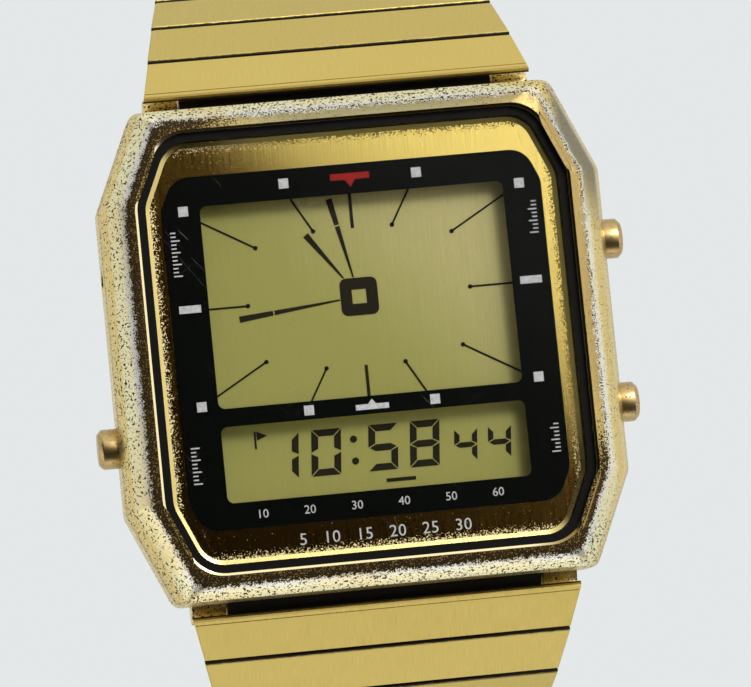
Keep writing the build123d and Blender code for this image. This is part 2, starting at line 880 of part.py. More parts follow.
# Pushers, their seals and springs
def button(side_x, side_y, sunk):
    radius = cap_radius(sunk)
    face_x = case_half_x - adjust_cap_sink if sunk else case_half_x + button_cap_length
    skirt_x = case_half_x - button_skirt_length
    if sunk:
        skirt_x = face_x - button_skirt_length
    cap = bar_x(radius, skirt_x, face_x, 0, 0)
    edge = adjust_cap_edge if sunk else button_cap_edge
    cap = chamfer(cap.faces().sort_by(Axis.X)[-1].edges(), edge)
    inner_x = cavity_half_x - button_stem_reach
    stem = bar_x(button_stem_radius, inner_x, skirt_x, 0, 0)
    clip_x = cavity_half_x - button_clip_gap
    clip = bar_x(button_clip_radius, clip_x - button_clip_thickness, clip_x, 0, 0)
    clip -= bar_x(button_stem_radius, inner_x - overrun, skirt_x, 0, 0)
    whole = Compound(children=[cap + stem, clip])
    if side_x < 0:
        whole = mirror(whole, about=Plane.YZ)
    return Pos(0, side_y * button_y, height(button_depth)) * whole


def around_stems(outer, inner, start_x, length):
    rings = []
    for name, side_x, side_y, sunk in button_sides():
        ring = bar_x(outer, start_x, start_x + length, 0, 0)
        ring -= bar_x(inner, start_x - overrun, start_x + length + overrun, 0, 0)
        if side_x < 0:
            ring = mirror(ring, about=Plane.YZ)
        rings.append(Pos(0, side_y * button_y, height(button_depth)) * ring)
    return Compound(children=rings)


def button_springs():
    floor_x = case_half_x - button_bore_depth
    outer = min(spring_outer_radius, adjust_cap_radius)
    return around_stems(outer, outer - spring_wall, floor_x, spring_length)


def button_seals():
    return around_stems(seal_outer_radius, button_stem_radius + button_fit / 2,
                        cavity_half_x + seal_inset, seal_width)


def spring_bars():
    return Compound(children=[
        bar_x(spring_bar_radius, -spring_bar_half, spring_bar_half, side * lug_pivot_y,
              height(lug_pivot_depth)) for side in (-1, 1)])


# Bracelet links, built flat: Y runs along the link away from the case and Z is outwards
def half_width(index):
    return max(narrow_half_x, end_link_half_x - link_taper * index)


def link_plate(near_half, far_half, start, end):
    points = [(-near_half, start), (near_half, start), (far_half, end), (-far_half, end)]
    face = make_face(Polyline(*points, close=True))
    under = plate_surface - link_plate_thickness
    plate = Pos(0, 0, under) * extrude(face, amount=link_plate_thickness)
    return chamfer(plate.faces().sort_by(Axis.Z)[-1].edges(), link_edge)


def side_knuckles(at_y):
    inner = center_knuckle_half + knuckle_side_gap
    outer = inner + side_knuckle_width
    reach = knuckle_radius + knuckle_space
    shapes = []
    for x_from, x_to in ((-outer, -inner), (inner, outer)):
        shape = bar_x(knuckle_radius, x_from, x_to, at_y, 0)
        shape += block(x_from, x_to, at_y - reach, at_y, -web_half_height, web_half_height)
        shapes.append(shape - bar_x(pin_radius, x_from - overrun, x_to + overrun, at_y, 0))
    return shapes


def center_knuckle(half):
    reach = knuckle_radius + knuckle_space
    shape = bar_x(knuckle_radius, -half, half, 0, 0)
    shape += block(-half, half, 0, reach, -web_half_height, web_half_height)
    return shape - bar_x(pin_radius + pin_fit, -half - overrun, half + overrun, 0, 0)


def hinge_pin(at_y):
    reach = center_knuckle_half + knuckle_side_gap + side_knuckle_width
    return bar_x(pin_radius, -reach, reach, at_y, 0)


def link_core(start, end):
    reach = center_knuckle_half + knuckle_side_gap + side_knuckle_width
    top = plate_surface - link_plate_thickness
    return block(-reach, reach, start, end, -knuckle_radius, top)


def flat_link(index):
    edge = link_gap / 2
    reach = knuckle_radius + knuckle_space
    body = link_plate(half_width(index), half_width(index + 1), edge, link_pitch - edge)
    body += link_core(reach, link_pitch - reach)
    body += center_knuckle(center_knuckle_half)
    for shape in side_knuckles(link_pitch):
        body += shape
    return Compound(children=[body, hinge_pin(link_pitch)])


def flat_end_link():
    # Origin at the first hinge of the chain; the plate runs back from it towards the case
    tilt = radians(end_slope_angle)
    away_y = lug_pivot_y - pivots[0][0]
    away_z = pivots[0][1] - lug_pivot_depth
    tube_y = away_y * cos(tilt) - away_z * sin(tilt)
    tube_z = away_y * sin(tilt) + away_z * cos(tilt)
    front = -end_plate_to_pivot
    plate = link_plate(half_width(0), half_width(1), front, -link_gap / 2)
    groove = block(-end_link_half_x - overrun, end_link_half_x + overrun,
                   front + end_lip_width, front + end_lip_width + end_lip_depth,
                   plate_surface - end_lip_depth, plate_surface + overrun)
    plate -= groove
    half = notch_half_x - end_tube_gap
    web_y = front + end_web_start
    under = plate_surface - link_plate_thickness
    body = plate + block(-half, half, web_y, web_y + end_web_length, tube_z, under)
    body += bar_x(end_tube_radius, -half, half, tube_y, tube_z)
    body += link_core(web_y, -knuckle_radius - knuckle_space)
    body -= bar_x(spring_bar_radius + lug_fit, -half - overrun, half + overrun, tube_y, tube_z)
    for shape in side_knuckles(0):
        body += shape
    return Compound(children=[body, hinge_pin(0)])


def hang(shape, side_y, pivot, slope):
    # Lays a flat link down its slope on the 12 o'clock side, or mirrored on the 6 o'clock side
    placed = Pos(0, pivot[0], height(pivot[1])) * Rot(-slope, 0, 0) * shape
    if side_y < 0:
        placed = mirror(placed, about=Plane.XZ)
    return placed


# Clasp, in the closed state
def pin_hole(y, fit):
    return bar_x(pin_radius + fit, -clasp_half_x, clasp_half_x, y, clasp_axis_height)


def clasp_pin(y, half):
    return bar_x(pin_radius, -half, half, y, clasp_axis_height)


def clasp_base_blade():
    # Runs from the last upper link to hinge B, next to the wrist
    low = clasp_axis_height + base_blade_depth
    top = low + base_blade_thickness
    body = block(-base_blade_half, base_blade_half, hinge_b_y, clasp_pivot_y - knuckle_radius,
                 low, top)
    slot_y = (hinge_a_y + hinge_b_y) / 2
    body -= block(-blade_slot_half, blade_slot_half, slot_y - blade_slot_length / 2,
                  slot_y + blade_slot_length / 2, low - overrun, top + overrun)
    eye = bar_x(blade_knuckle_radius, -blade_center_half, blade_center_half, hinge_b_y,
                clasp_axis_height)
    web = block(-blade_center_half, blade_center_half, hinge_b_y, hinge_b_y + blade_knuckle_radius,
                clasp_axis_height, top)
    body += eye + web
    half = center_knuckle_half
    end_eye = bar_x(knuckle_radius, -half, half, clasp_pivot_y, clasp_axis_height)
    arm_y = clasp_pivot_y - knuckle_radius
    end_web = block(-half, half, arm_y - knuckle_radius, clasp_pivot_y,
                    clasp_axis_height, clasp_axis_height + web_half_height)
    riser = block(-half, half, arm_y - knuckle_radius, arm_y, clasp_axis_height, top)
    body += end_eye + end_web + riser
    body -= bar_x(pin_radius + pin_fit, -half - overrun, half + overrun, clasp_pivot_y,
                  clasp_axis_height)
    body -= pin_hole(hinge_b_y, 0)
    return Compound(children=[body, clasp_pin(hinge_b_y, middle_blade_half)])


def clasp_middle_blade():
    low = clasp_axis_height - middle_blade_thickness / 2
    body = block(-middle_blade_half, middle_blade_half, hinge_b_y, hinge_a_y, low,
                 low + middle_blade_thickness)
    for y in (hinge_a_y, hinge_b_y):
        body += bar_x(blade_knuckle_radius, -middle_blade_half, middle_blade_half, y,
                      clasp_axis_height)
    room = blade_knuckle_radius + knuckle_space
    gap = blade_center_half + knuckle_side_gap
    body -= block(-gap, gap, hinge_b_y - room, hinge_b_y + room,
                  clasp_axis_height - room, clasp_axis_height + room)
    body -= block(-gap, gap, hinge_a_y - room, hinge_a_y + room,
                  clasp_axis_height - room, clasp_axis_height + room)
    slot_y = (hinge_a_y + hinge_b_y) / 2
    body -= block(-blade_slot_half, blade_slot_half, slot_y - blade_slot_length / 2,
                  slot_y + blade_slot_length / 2, low - overrun, clasp_axis_height + room)
    body -= pin_hole(hinge_b_y, pin_fit)
    body -= pin_hole(hinge_a_y, pin_fit)
    return body


def clasp_cover():
    # Shallow tray that hides the blades; its floor is the face the watch stands on
    axis = clasp_axis_height
    inner_half = clasp_half_x - clasp_wall
    walls = block(-clasp_half_x, clasp_half_x, hinge_b_y, hinge_a_y, 0, clasp_wall_rise)
    body = walls - block(-inner_half, inner_half, hinge_b_y - overrun, hinge_a_y + overrun,
                         clasp_floor, clasp_wall_rise + overrun)
    curl = bar_x(axis, -clasp_half_x, clasp_half_x, hinge_b_y, axis)
    curl -= bar_x(axis - clasp_floor, -clasp_half_x - overrun, clasp_half_x + overrun,
                  hinge_b_y, axis)
    curl_top = axis - (axis - clasp_floor) * sin(radians(clasp_curl_angle))
    curl &= block(-clasp_half_x, clasp_half_x, hinge_b_y - axis, hinge_b_y, 0, curl_top)
    tab = block(-clasp_tab_half, clasp_tab_half, hinge_a_y, hinge_a_y + clasp_tab_length,
                0, clasp_floor)
    eye = bar_x(blade_knuckle_radius, -blade_center_half, blade_center_half, hinge_a_y, axis)
    post = block(-blade_center_half, blade_center_half, hinge_a_y - blade_knuckle_radius,
                 hinge_a_y, 0, axis)
    body += curl
    body += tab
    body += eye + post
    body -= pin_hole(hinge_a_y, 0) & block(-blade_center_half - overrun,
                                          blade_center_half + overrun,
                                          hinge_a_y - axis, hinge_a_y + axis, 0, 2 * axis)
    return Compound(children=[body, clasp_pin(hinge_a_y, middle_blade_half)])


# Writes every piece
def main():
    pieces = {
        "case_middle": case_middle(), "crystal": crystal(), "crystal_gasket": crystal_gasket(),
        "face_frame": face_frame(), "black_mask": black_mask(), "dial_marks": dial_marks(),
        "twelve_mark": twelve_mark(), "lcd_panel": lcd_panel(), "lcd_segments": lcd_segments(),
        "lcd_reflector": lcd_reflector(), "module_frame": module_frame(),
        "zebra_connectors": zebra_connectors(), "lamp": lamp(), "circuit_board": circuit_board(),
        "controller_chip": controller_chip(), "quartz_crystal": quartz_crystal(),
        "battery": battery(), "battery_clamp": battery_clamp(), "buzzer_disc": buzzer_disc(),
        "buzzer_spring": buzzer_spring(), "case_back_gasket": back_seal_ring(gasket_fit),
        "case_back": case_back(), "case_back_screws": case_back_screws(),
        "button_springs": button_springs(), "button_seals": button_seals(),
        "spring_bars": spring_bars(), "clasp_base_blade": clasp_base_blade(),
        "clasp_middle_blade": clasp_middle_blade(), "clasp_cover": clasp_cover(),
    }
    for name, side_x, side_y, sunk in button_sides():
        pieces[name] = button(side_x, side_y, sunk)
    for word, side_y in (("upper", 1), ("lower", -1)):
        pieces[word + "_end_link"] = hang(flat_end_link(), side_y, pivots[0], end_slope_angle)
        for index in range(1, links_per_side + 1):
            name = f"{word}_link_{index:02d}"
            link = flat_link(index)
            pieces[name] = hang(link, side_y, pivots[index - 1], slope_of(index))
    for name, shape in pieces.items():
        save(name, shape)
    for index, pivot in enumerate(pivots):
        print("pivot", index, round(pivot[0], 4), round(height(pivot[1]), 4),
              "slope", round(slope_of(index), 3))
    print("bezel top", round(bezel_top_z, 4), "lug pivot", lug_pivot_y,
          round(height(lug_pivot_depth), 4))
    print("clasp hinges", round(hinge_a_y, 4), round(hinge_b_y, 4), clasp_axis_height,
          "pusher height", round(height(button_depth), 4))


main()
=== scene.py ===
# %% [markdown]
# This scene dresses a quartz wristwatch: a gold-plated case with cut corners, a liquid
# crystal face under a mineral crystal, and a bracelet of full-width links. The packed
# model gives every piece its place and size. Blender adds what a maker's eye would look
# for next: softened edges, worn plating, brushed links and printed plates.

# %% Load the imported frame
import bpy
import bmesh
import json
import math
from mathutils import Matrix, Vector


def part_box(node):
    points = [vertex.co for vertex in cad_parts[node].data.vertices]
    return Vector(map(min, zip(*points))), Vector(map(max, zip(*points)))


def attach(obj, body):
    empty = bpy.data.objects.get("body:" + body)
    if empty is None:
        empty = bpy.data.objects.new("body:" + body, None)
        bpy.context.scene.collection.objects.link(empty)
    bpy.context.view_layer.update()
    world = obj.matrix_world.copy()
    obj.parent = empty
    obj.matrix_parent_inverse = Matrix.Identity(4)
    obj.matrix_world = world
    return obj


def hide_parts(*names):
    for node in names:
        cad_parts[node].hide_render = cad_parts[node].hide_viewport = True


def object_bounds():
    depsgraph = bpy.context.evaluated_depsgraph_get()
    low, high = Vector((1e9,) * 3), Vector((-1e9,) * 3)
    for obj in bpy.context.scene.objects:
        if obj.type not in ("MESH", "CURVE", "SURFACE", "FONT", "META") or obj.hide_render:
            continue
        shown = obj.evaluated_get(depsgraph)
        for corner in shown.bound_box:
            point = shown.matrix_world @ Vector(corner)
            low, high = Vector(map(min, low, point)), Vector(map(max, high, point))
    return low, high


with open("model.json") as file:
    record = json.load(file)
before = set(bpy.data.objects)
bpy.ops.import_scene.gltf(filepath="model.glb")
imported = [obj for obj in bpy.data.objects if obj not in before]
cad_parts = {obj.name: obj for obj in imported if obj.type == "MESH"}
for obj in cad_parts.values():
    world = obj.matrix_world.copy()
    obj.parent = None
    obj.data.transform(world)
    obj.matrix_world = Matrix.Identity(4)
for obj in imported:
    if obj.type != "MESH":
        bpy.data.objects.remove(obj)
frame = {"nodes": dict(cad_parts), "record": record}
cad_low, cad_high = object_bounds()
nodes = frame["nodes"]
mm = 0.001
print("model size in mm:", [round(side / mm, 2) for side in cad_high - cad_low])

# %% [markdown]
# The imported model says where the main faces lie, so the heights and widths below are
# read from its boxes. Its record says which body and which finish each piece has.
# Everything added later is placed from these few values.

# %% Read the main places
def high_corner(name):
    low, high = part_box(name)
    return high


bezel_top = high_corner("case_middle").z
mask_top = high_corner("black_mask").z
plate_high = high_corner("face_frame")

body_of_node = {}
for body, members in frame["record"]["behaviour"]["bodies"].items():
    for member in members:
        body_of_node[member] = body

slot_of_node = {}
for entry in frame["record"]["subparts"]:
    slot_of_node[entry["node"]] = entry["material_slot"]

print("bezel top", round(bezel_top / mm, 3), "mask top", round(mask_top / mm, 3))
print("pieces:", len(slot_of_node), "bodies:", len(set(body_of_node.values())))

# %% [markdown]
# A shader is easier to read as a list of steps, so one helper adds a node, sets its
# options and plugs in its inputs. A value that is a socket is linked, and any other
# value is typed into the input. The other helpers are the steps used most: sums, a soft
# step from one value to another, a blend of two colours, and noise.

# %% Helpers for node trees
def add_node(tree, kind, inputs=None, **options):
    node = tree.nodes.new(kind)
    for name, value in options.items():
        setattr(node, name, value)
    for name, value in (inputs or {}).items():
        if isinstance(value, bpy.types.NodeSocket):
            tree.links.new(value, node.inputs[name])
        else:
            node.inputs[name].default_value = value
    return node


def calculate(tree, operation, first, second=0.0, clamp=False):
    node = add_node(tree, "ShaderNodeMath", {0: first, 1: second}, operation=operation)
    node.use_clamp = clamp
    return node.outputs[0]


def times(tree, first, *others):
    for other in others:
        first = calculate(tree, "MULTIPLY", first, other)
    return first


def opposite(tree, mask):
    return calculate(tree, "SUBTRACT", 1.0, mask)


def remap(tree, value, low, high, to_low=0.0, to_high=1.0):
    inputs = {"Value": value, "From Min": low, "From Max": high,
              "To Min": to_low, "To Max": to_high}
    node = add_node(tree, "ShaderNodeMapRange", inputs, interpolation_type="SMOOTHSTEP")
    return node.outputs["Result"]


def mix_values(tree, share, first, second):
    return remap(tree, share, 0.0, 1.0, first, second)


def blend_colors(tree, share, first, second):
    node = add_node(tree, "ShaderNodeMix", data_type="RGBA")
    for socket, value in (("Factor_Float", share), ("A_Color", first), ("B_Color", second)):
        target = next(s for s in node.inputs if s.identifier == socket)
        if isinstance(value, bpy.types.NodeSocket):
            tree.links.new(value, target)
        else:
            target.default_value = value
    return next(s for s in node.outputs if s.identifier == "Result_Color")


def add_noise(tree, place, scale, detail, roughness=0.5):
    inputs = {"Vector": place, "Scale": scale, "Detail": detail, "Roughness": roughness}
    return add_node(tree, "ShaderNodeTexNoise", inputs).outputs["Fac"]


def color(red, green, blue):
    return (red, green, blue, 1.0)


print("node helpers ready")

# %% [markdown]
# The camera looks down on the face from close by, a little from below and from the
# left, and it is rolled so that the watch leans to the right. Its place was fitted so
# that ten dial marks, the outline of the case, the first links and three pushers fall
# where the photo shows them.

# %% Place the camera
view_yaw = math.radians(6.63)
view_pitch = math.radians(4.54)
view_roll = math.radians(5.67)
view_distance = 311.5 * mm
view_target = Vector((0.617 * mm, -0.333 * mm, mask_top))
image_width_px = 751
focal_length_px = 4728.5
sensor_width = 36.0
nearest_seen = 0.01
furthest_seen = 10.0

toward_camera = Vector((-math.sin(view_yaw) * math.cos(view_pitch), -math.sin(view_pitch),
                        math.cos(view_yaw) * math.cos(view_pitch)))
level_right = Vector((0, 1, 0)).cross(toward_camera).normalized()
level_up = toward_camera.cross(level_right)
camera_right = math.cos(view_roll) * level_right - math.sin(view_roll) * level_up
camera_up = math.sin(view_roll) * level_right + math.cos(view_roll) * level_up

camera_data = bpy.data.cameras.new("photo_camera")
camera_data.sensor_width = sensor_width
camera_data.lens = focal_length_px * sensor_width / image_width_px
camera_data.clip_start = nearest_seen
camera_data.clip_end = furthest_seen
camera = bpy.data.objects.new("photo_camera", camera_data)
bpy.context.scene.collection.objects.link(camera)
turn = Matrix((camera_right, camera_up, toward_camera)).transposed().to_4x4()
camera.matrix_world = Matrix.Translation(view_target + view_distance * toward_camera) @ turn
bpy.context.scene.camera = camera
bpy.context.scene.view_settings.view_transform = "Standard"
print("lens in mm:", round(camera_data.lens, 1))

# %% [markdown]
# Polished gold shows its surroundings more than its own colour. The surroundings here
# are a big soft light over the upper right, a dim room on the lower left and a pale
# strip near the ground. The edge of the soft light runs almost overhead, so the printed
# frame reflects it on one side only. Its colour is also painted bright on that side and
# dark on the other, a painted reflection. The camera itself sees a plain pale backdrop
# instead.

# %% Build the surroundings
backdrop_color = color(0.80, 0.83, 0.835)
soft_light_color = (1.0, 0.985, 0.95)
dim_room_color = (0.022, 0.018, 0.012)
soft_light_side = (0.707, 0.707, 0.0)
soft_light_edge = (0.143, 0.178)
soft_light_strength = 1.1
low_strip_edge = (0.45, 0.10)
low_strip_strength = 0.8


def build_surroundings():
    world = bpy.data.worlds.new("studio")
    world.use_nodes = True
    tree = world.node_tree
    tree.nodes.clear()
    direction = add_node(tree, "ShaderNodeTexCoord").outputs["Generated"]
    aside = add_node(tree, "ShaderNodeVectorMath", {0: direction, 1: soft_light_side},
                     operation="DOT_PRODUCT").outputs["Value"]
    height = add_node(tree, "ShaderNodeSeparateXYZ", {0: direction}).outputs["Z"]
    soft = remap(tree, aside, *soft_light_edge, 0.0, soft_light_strength)
    strip = remap(tree, height, *low_strip_edge, 0.0, low_strip_strength)
    share = calculate(tree, "MAXIMUM", soft, strip)
    lit = add_node(tree, "ShaderNodeVectorMath", {0: soft_light_color, "Scale": share},
                   operation="SCALE").outputs["Vector"]
    room = add_node(tree, "ShaderNodeVectorMath", {0: lit, 1: dim_room_color},
                    operation="ADD").outputs["Vector"]
    seen = add_node(tree, "ShaderNodeBackground", {"Color": backdrop_color})
    light = add_node(tree, "ShaderNodeBackground", {"Color": room})
    path = add_node(tree, "ShaderNodeLightPath").outputs["Is Camera Ray"]
    mix = add_node(tree, "ShaderNodeMixShader", {0: path})
    tree.links.new(light.outputs[0], mix.inputs[1])
    tree.links.new(seen.outputs[0], mix.inputs[2])
    output = add_node(tree, "ShaderNodeOutputWorld")
    tree.links.new(mix.outputs[0], output.inputs["Surface"])
    bpy.context.scene.world = world
    return tree


surroundings = build_surroundings()
print("nodes in the surroundings:", len(surroundings.nodes))

# %% [markdown]
# Three square lamps add what the even surroundings lack. The key stands at the upper
# right and draws the highlights, and two weak fills lift the lower left and the edges
# that face the front.

# %% Hang the lamps
model_middle = (cad_low + cad_high) / 2
lamps = {
    "key_light": ((0.30, 0.36, 0.62), 0.26, 2.6, (1.0, 0.985, 0.955)),
    "low_fill": ((-0.55, -0.30, 0.20), 0.60, 0.7, (0.96, 0.98, 1.0)),
    "front_fill": ((0.05, -0.75, 0.12), 0.45, 0.45, (1.0, 0.99, 0.97)),
}


def hang_lamp(name, place, size, power, tint):
    data = bpy.data.lights.new(name, "AREA")
    data.shape = "SQUARE"
    data.size = size
    data.energy = power
    data.color = tint
    lamp = bpy.data.objects.new(name, data)
    bpy.context.scene.collection.objects.link(lamp)
    look = (Vector(place) - model_middle).to_track_quat("Z", "Y")
    lamp.matrix_world = Matrix.Translation(place) @ look.to_matrix().to_4x4()


for name, (place, size, power, tint) in lamps.items():
    hang_lamp(name, place, size, power, tint)
print("lamps:", len(lamps))

# %% [markdown]
# The floor is one large pale sheet, so that its far edge never shows. It glows in the
# colour of the backdrop and takes no other light, so the two run into each other, and it
# lights the steep facets of the bezel from below.

# %% Lay the floor
floor_reach = 3.0
floor_glow = 0.97


def lay_floor():
    bm = bmesh.new()
    bmesh.ops.create_grid(bm, x_segments=1, y_segments=1, size=floor_reach)
    mesh = bpy.data.meshes.new("floor")
    bm.to_mesh(mesh)
    bm.free()
    floor = bpy.data.objects.new("floor", mesh)
    bpy.context.scene.collection.objects.link(floor)
    paint = bpy.data.materials.new("pale_floor")
    paint.use_nodes = True
    shader = paint.node_tree.nodes["Principled BSDF"]
    shader.inputs["Base Color"].default_value = color(0.0, 0.0, 0.0)
    shader.inputs["Roughness"].default_value = 0.9
    shader.inputs["Specular IOR Level"].default_value = 0.0
    shader.inputs["Emission Color"].default_value = backdrop_color
    shader.inputs["Emission Strength"].default_value = floor_glow
    mesh.materials.append(paint)


lay_floor()
print("floor reaches", floor_reach, "m each way")

# %% [markdown]
# Several finishes share the same small effects. Each one is a node group that puts out a
# mask or a value, and each material decides what to do with it. So one group serves the
# links, the printed frame and the liquid crystal film, each with its own measures.

# %% Start a shared effect
def start_group(name, inputs, output):
    tree = bpy.data.node_groups.new(name, "ShaderNodeTree")
    for label, kind, value in inputs:
        socket = tree.interface.new_socket(name=label, in_out="INPUT", socket_type=kind)
        if value is not None:
            socket.default_value = value
    tree.interface.new_socket(name=output, in_out="OUTPUT", socket_type="NodeSocketFloat")
    entry = tree.nodes.new("NodeGroupInput")
    exit_node = tree.nodes.new("NodeGroupOutput")
    return tree, entry.outputs, exit_node.inputs


def use_group(tree, group, inputs):
    return add_node(tree, "ShaderNodeGroup", inputs, node_tree=group).outputs[0]


print("ready for shared effects")

# %% [markdown]
# Brushed metal has long fine streaks. A noise stretched to the size of one streak along
# X, Y and Z, in millimetres, gives them in any direction.

# %% Make the brushed grain
def grain_group():
    tree, given, result = start_group(
        "brushed_grain",
        [("Vector", "NodeSocketVector", None), ("Streak", "NodeSocketVector", (2.0, 0.05, 0.05))],
        "Grain")
    stretched = add_node(tree, "ShaderNodeVectorMath", {0: given["Vector"], 1: given["Streak"]},
                         operation="DIVIDE").outputs[0]
    tree.links.new(add_noise(tree, stretched, 1.0 / mm, 3.0, 0.6), result["Grain"])
    return tree


brushed_grain = grain_group()
print("made", brushed_grain.name)

# %% [markdown]
# Hair scratches are thin broken lines. Where a stretched noise passes through its middle
# value it draws such lines, and a second, broader noise keeps them in a few patches.

# %% Make the hair scratches
line_stretch = (0.014, 1.0, 1.0)
patch_border = 0.06


def scratch_group():
    tree, given, result = start_group(
        "hair_scratches",
        [("Vector", "NodeSocketVector", None), ("Angle", "NodeSocketFloat", 0.4),
         ("Thin", "NodeSocketFloat", 0.012), ("Patch", "NodeSocketFloat", 0.55)],
        "Scratch")
    turned = add_node(tree, "ShaderNodeVectorRotate", {
        "Vector": given["Vector"], "Angle": given["Angle"]}, rotation_type="Z_AXIS").outputs[0]
    long_way = add_node(tree, "ShaderNodeVectorMath", {0: turned, 1: line_stretch},
                        operation="MULTIPLY").outputs[0]
    crease = add_noise(tree, long_way, 0.55 / mm, 1.0, 0.4)
    away = calculate(tree, "ABSOLUTE", calculate(tree, "SUBTRACT", crease, 0.5))
    line = remap(tree, away, given["Thin"], 0.0)
    patch = add_noise(tree, given["Vector"], 0.28 / mm, 2.0)
    patch_full = calculate(tree, "ADD", given["Patch"], patch_border)
    here = remap(tree, patch, given["Patch"], patch_full)
    tree.links.new(times(tree, line, here), result["Scratch"])
    return tree


hair_scratches = scratch_group()
print("made", hair_scratches.name)

# %% [markdown]
# Pits in plating and dust are scattered specks of uneven size. They are the peaks of a
# noise: the more specks are wanted, the lower the height from which a peak counts.

# %% Make the specks
fewest_specks_height = 0.80
most_specks_height = 0.34
speck_border = 0.035


def speck_group():
    tree, given, result = start_group(
        "specks",
        [("Vector", "NodeSocketVector", None), ("Spacing", "NodeSocketFloat", 0.2),
         ("Amount", "NodeSocketFloat", 0.5)],
        "Speck")
    scale = calculate(tree, "DIVIDE", 1.0 / mm, given["Spacing"])
    noise = add_noise(tree, given["Vector"], scale, 2.0, 0.55)
    height = mix_values(tree, given["Amount"], fewest_specks_height, most_specks_height)
    full = calculate(tree, "ADD", height, speck_border)
    tree.links.new(remap(tree, noise, height, full), result["Speck"])
    return tree


specks = speck_group()
print("made", specks.name)

# %% [markdown]
# Every finish starts as a plain metal or paint. Its patterns read the object's own
# coordinates, which are the same in every view and at every pose.

# %% Start a finish
def start_finish(name, base, roughness, metallic=0.0):
    finish = bpy.data.materials.new(name)
    finish.use_nodes = True
    tree = finish.node_tree
    shader = tree.nodes["Principled BSDF"]
    shader.inputs["Base Color"].default_value = base
    shader.inputs["Roughness"].default_value = roughness
    shader.inputs["Metallic"].default_value = metallic
    place = add_node(tree, "ShaderNodeTexCoord").outputs["Object"]
    return finish, tree, shader, place


def add_bump(tree, shader, height, depth):
    bump = add_node(tree, "ShaderNodeBump", {"Height": height, "Distance": depth})
    tree.links.new(bump.outputs["Normal"], shader.inputs["Normal"])


def darkened(base, share):
    return color(*(part * share for part in base[:3]))


finishes = {}
print("ready for finishes")

# %% [markdown]
# The case was gold over white metal, and years on the wrist have worn it. How far a
# point lies below the bezel's top tells which facet it is on, so all wear follows that
# depth, in millimetres. A noise shifts it, so that no border runs straight. The side
# toward the soft light and the right side are told apart. The colours below paint light
# and shade differently on each side, and the right side has also worn differently.

# %% Tell where a point of the case lies
border_shift = 0.6
lit_side_range = (2 * mm, 12 * mm)
right_side_range = (7 * mm, 14 * mm)
inner_facet_depths = (0.46, 0.24)


def read_case_places(tree, place):
    axis = add_node(tree, "ShaderNodeSeparateXYZ", {0: place}).outputs
    depth = calculate(tree, "DIVIDE", calculate(tree, "SUBTRACT", bezel_top, axis["Z"]), mm)
    fine_noise = add_noise(tree, place, 2.6 / mm, 5.0, 0.7)
    shift = times(tree, calculate(tree, "SUBTRACT", fine_noise, 0.5), border_shift)
    level = calculate(tree, "ADD", depth, shift)
    across = calculate(tree, "ADD", axis["X"], axis["Y"])
    polished = add_node(tree, "ShaderNodeAttribute", attribute_name="polished")
    return {
        "x": axis["X"],
        "y": axis["Y"],
        "level": level,
        "across": across,
        "fine_noise": fine_noise,
        "broad_noise": add_noise(tree, place, 0.16 / mm, 2.0),
        "lit_side": remap(tree, across, *lit_side_range),
        "right_side": remap(tree, axis["X"], *right_side_range),
        "inner_facet": remap(tree, level, *inner_facet_depths),
        "polished_strip": polished.outputs["Fac"],
    }


print("inner facet ends", inner_facet_depths[0], "mm below the bezel's top")

# %% [markdown]
# Where the plating broke there are dark pits. They crowd the inner facet on the side
# away from the light, get fewer toward the opening, and are scattered dots outside. The
# outer facet at the upper right has lost its pits under a dull grey film.

# %% Pit the case
ridge_depths = (0.16, 0.34)
ridge_end_depths = (0.62, 0.40)
toward_ridge_depths = (-0.05, 0.26)
outer_facet_depths = (0.46, 0.62)
film_depths = (0.42, 0.62)
film_end_depths = (2.4, 1.5)
film_across = (21 * mm, 26 * mm)
film_sideways = (13.4 * mm, 14.4 * mm)
end_facets_from = (11 * mm, 15 * mm)
left_facet_from = (-10 * mm, -14 * mm)
fine_pit_spacing = 0.10
dot_spacing = 0.18
inner_crowd_dark_side = (0.70, 0.97)
inner_crowd_lit_side = 0.30
ridge_crowd = 0.60
outer_crowd_range = (0.35, 0.44)
end_dots = (0.36, 0.50)
left_dots = (0.36, 0.47)
film_cover = 0.85


def grey_film_mask(tree, at):
    return times(tree, remap(tree, at["across"], *film_across),
                 remap(tree, at["x"], *film_sideways),
                 remap(tree, at["level"], *film_depths, 0.0, film_cover),
                 remap(tree, at["level"], *film_end_depths))


def pit_mask(tree, place, at, grey_film):
    level = at["level"]
    toward_ridge = remap(tree, level, *toward_ridge_depths, *inner_crowd_dark_side)
    inner_crowd = times(tree, at["inner_facet"], mix_values(
        tree, at["lit_side"], toward_ridge, inner_crowd_lit_side))
    ridge = times(tree, remap(tree, level, *ridge_depths), remap(tree, level, *ridge_end_depths))
    crowd = calculate(tree, "MAXIMUM", inner_crowd, times(tree, ridge, ridge_crowd))
    outer_crowd = remap(tree, at["broad_noise"], 0.38, 0.66, *outer_crowd_range)
    crowd = calculate(tree, "MAXIMUM", crowd, outer_crowd)
    fine_pits = use_group(tree, specks, {
        "Vector": place, "Spacing": fine_pit_spacing, "Amount": crowd})
    outside = calculate(tree, "SUBTRACT", remap(tree, level, *outer_facet_depths), grey_film)
    from_middle = calculate(tree, "ABSOLUTE", at["y"])
    toward_ends = remap(tree, from_middle, *end_facets_from, *end_dots)
    toward_left = remap(tree, at["x"], *left_facet_from, *left_dots)
    dots = use_group(tree, specks, {
        "Vector": place, "Spacing": dot_spacing,
        "Amount": calculate(tree, "MAXIMUM", toward_ends, toward_left)})
    pits = calculate(tree, "MAXIMUM", fine_pits, times(tree, dots, outside))
    return times(tree, pits, opposite(tree, at["polished_strip"]))


print("fine pits every", fine_pit_spacing, "mm, dots every", dot_spacing, "mm")
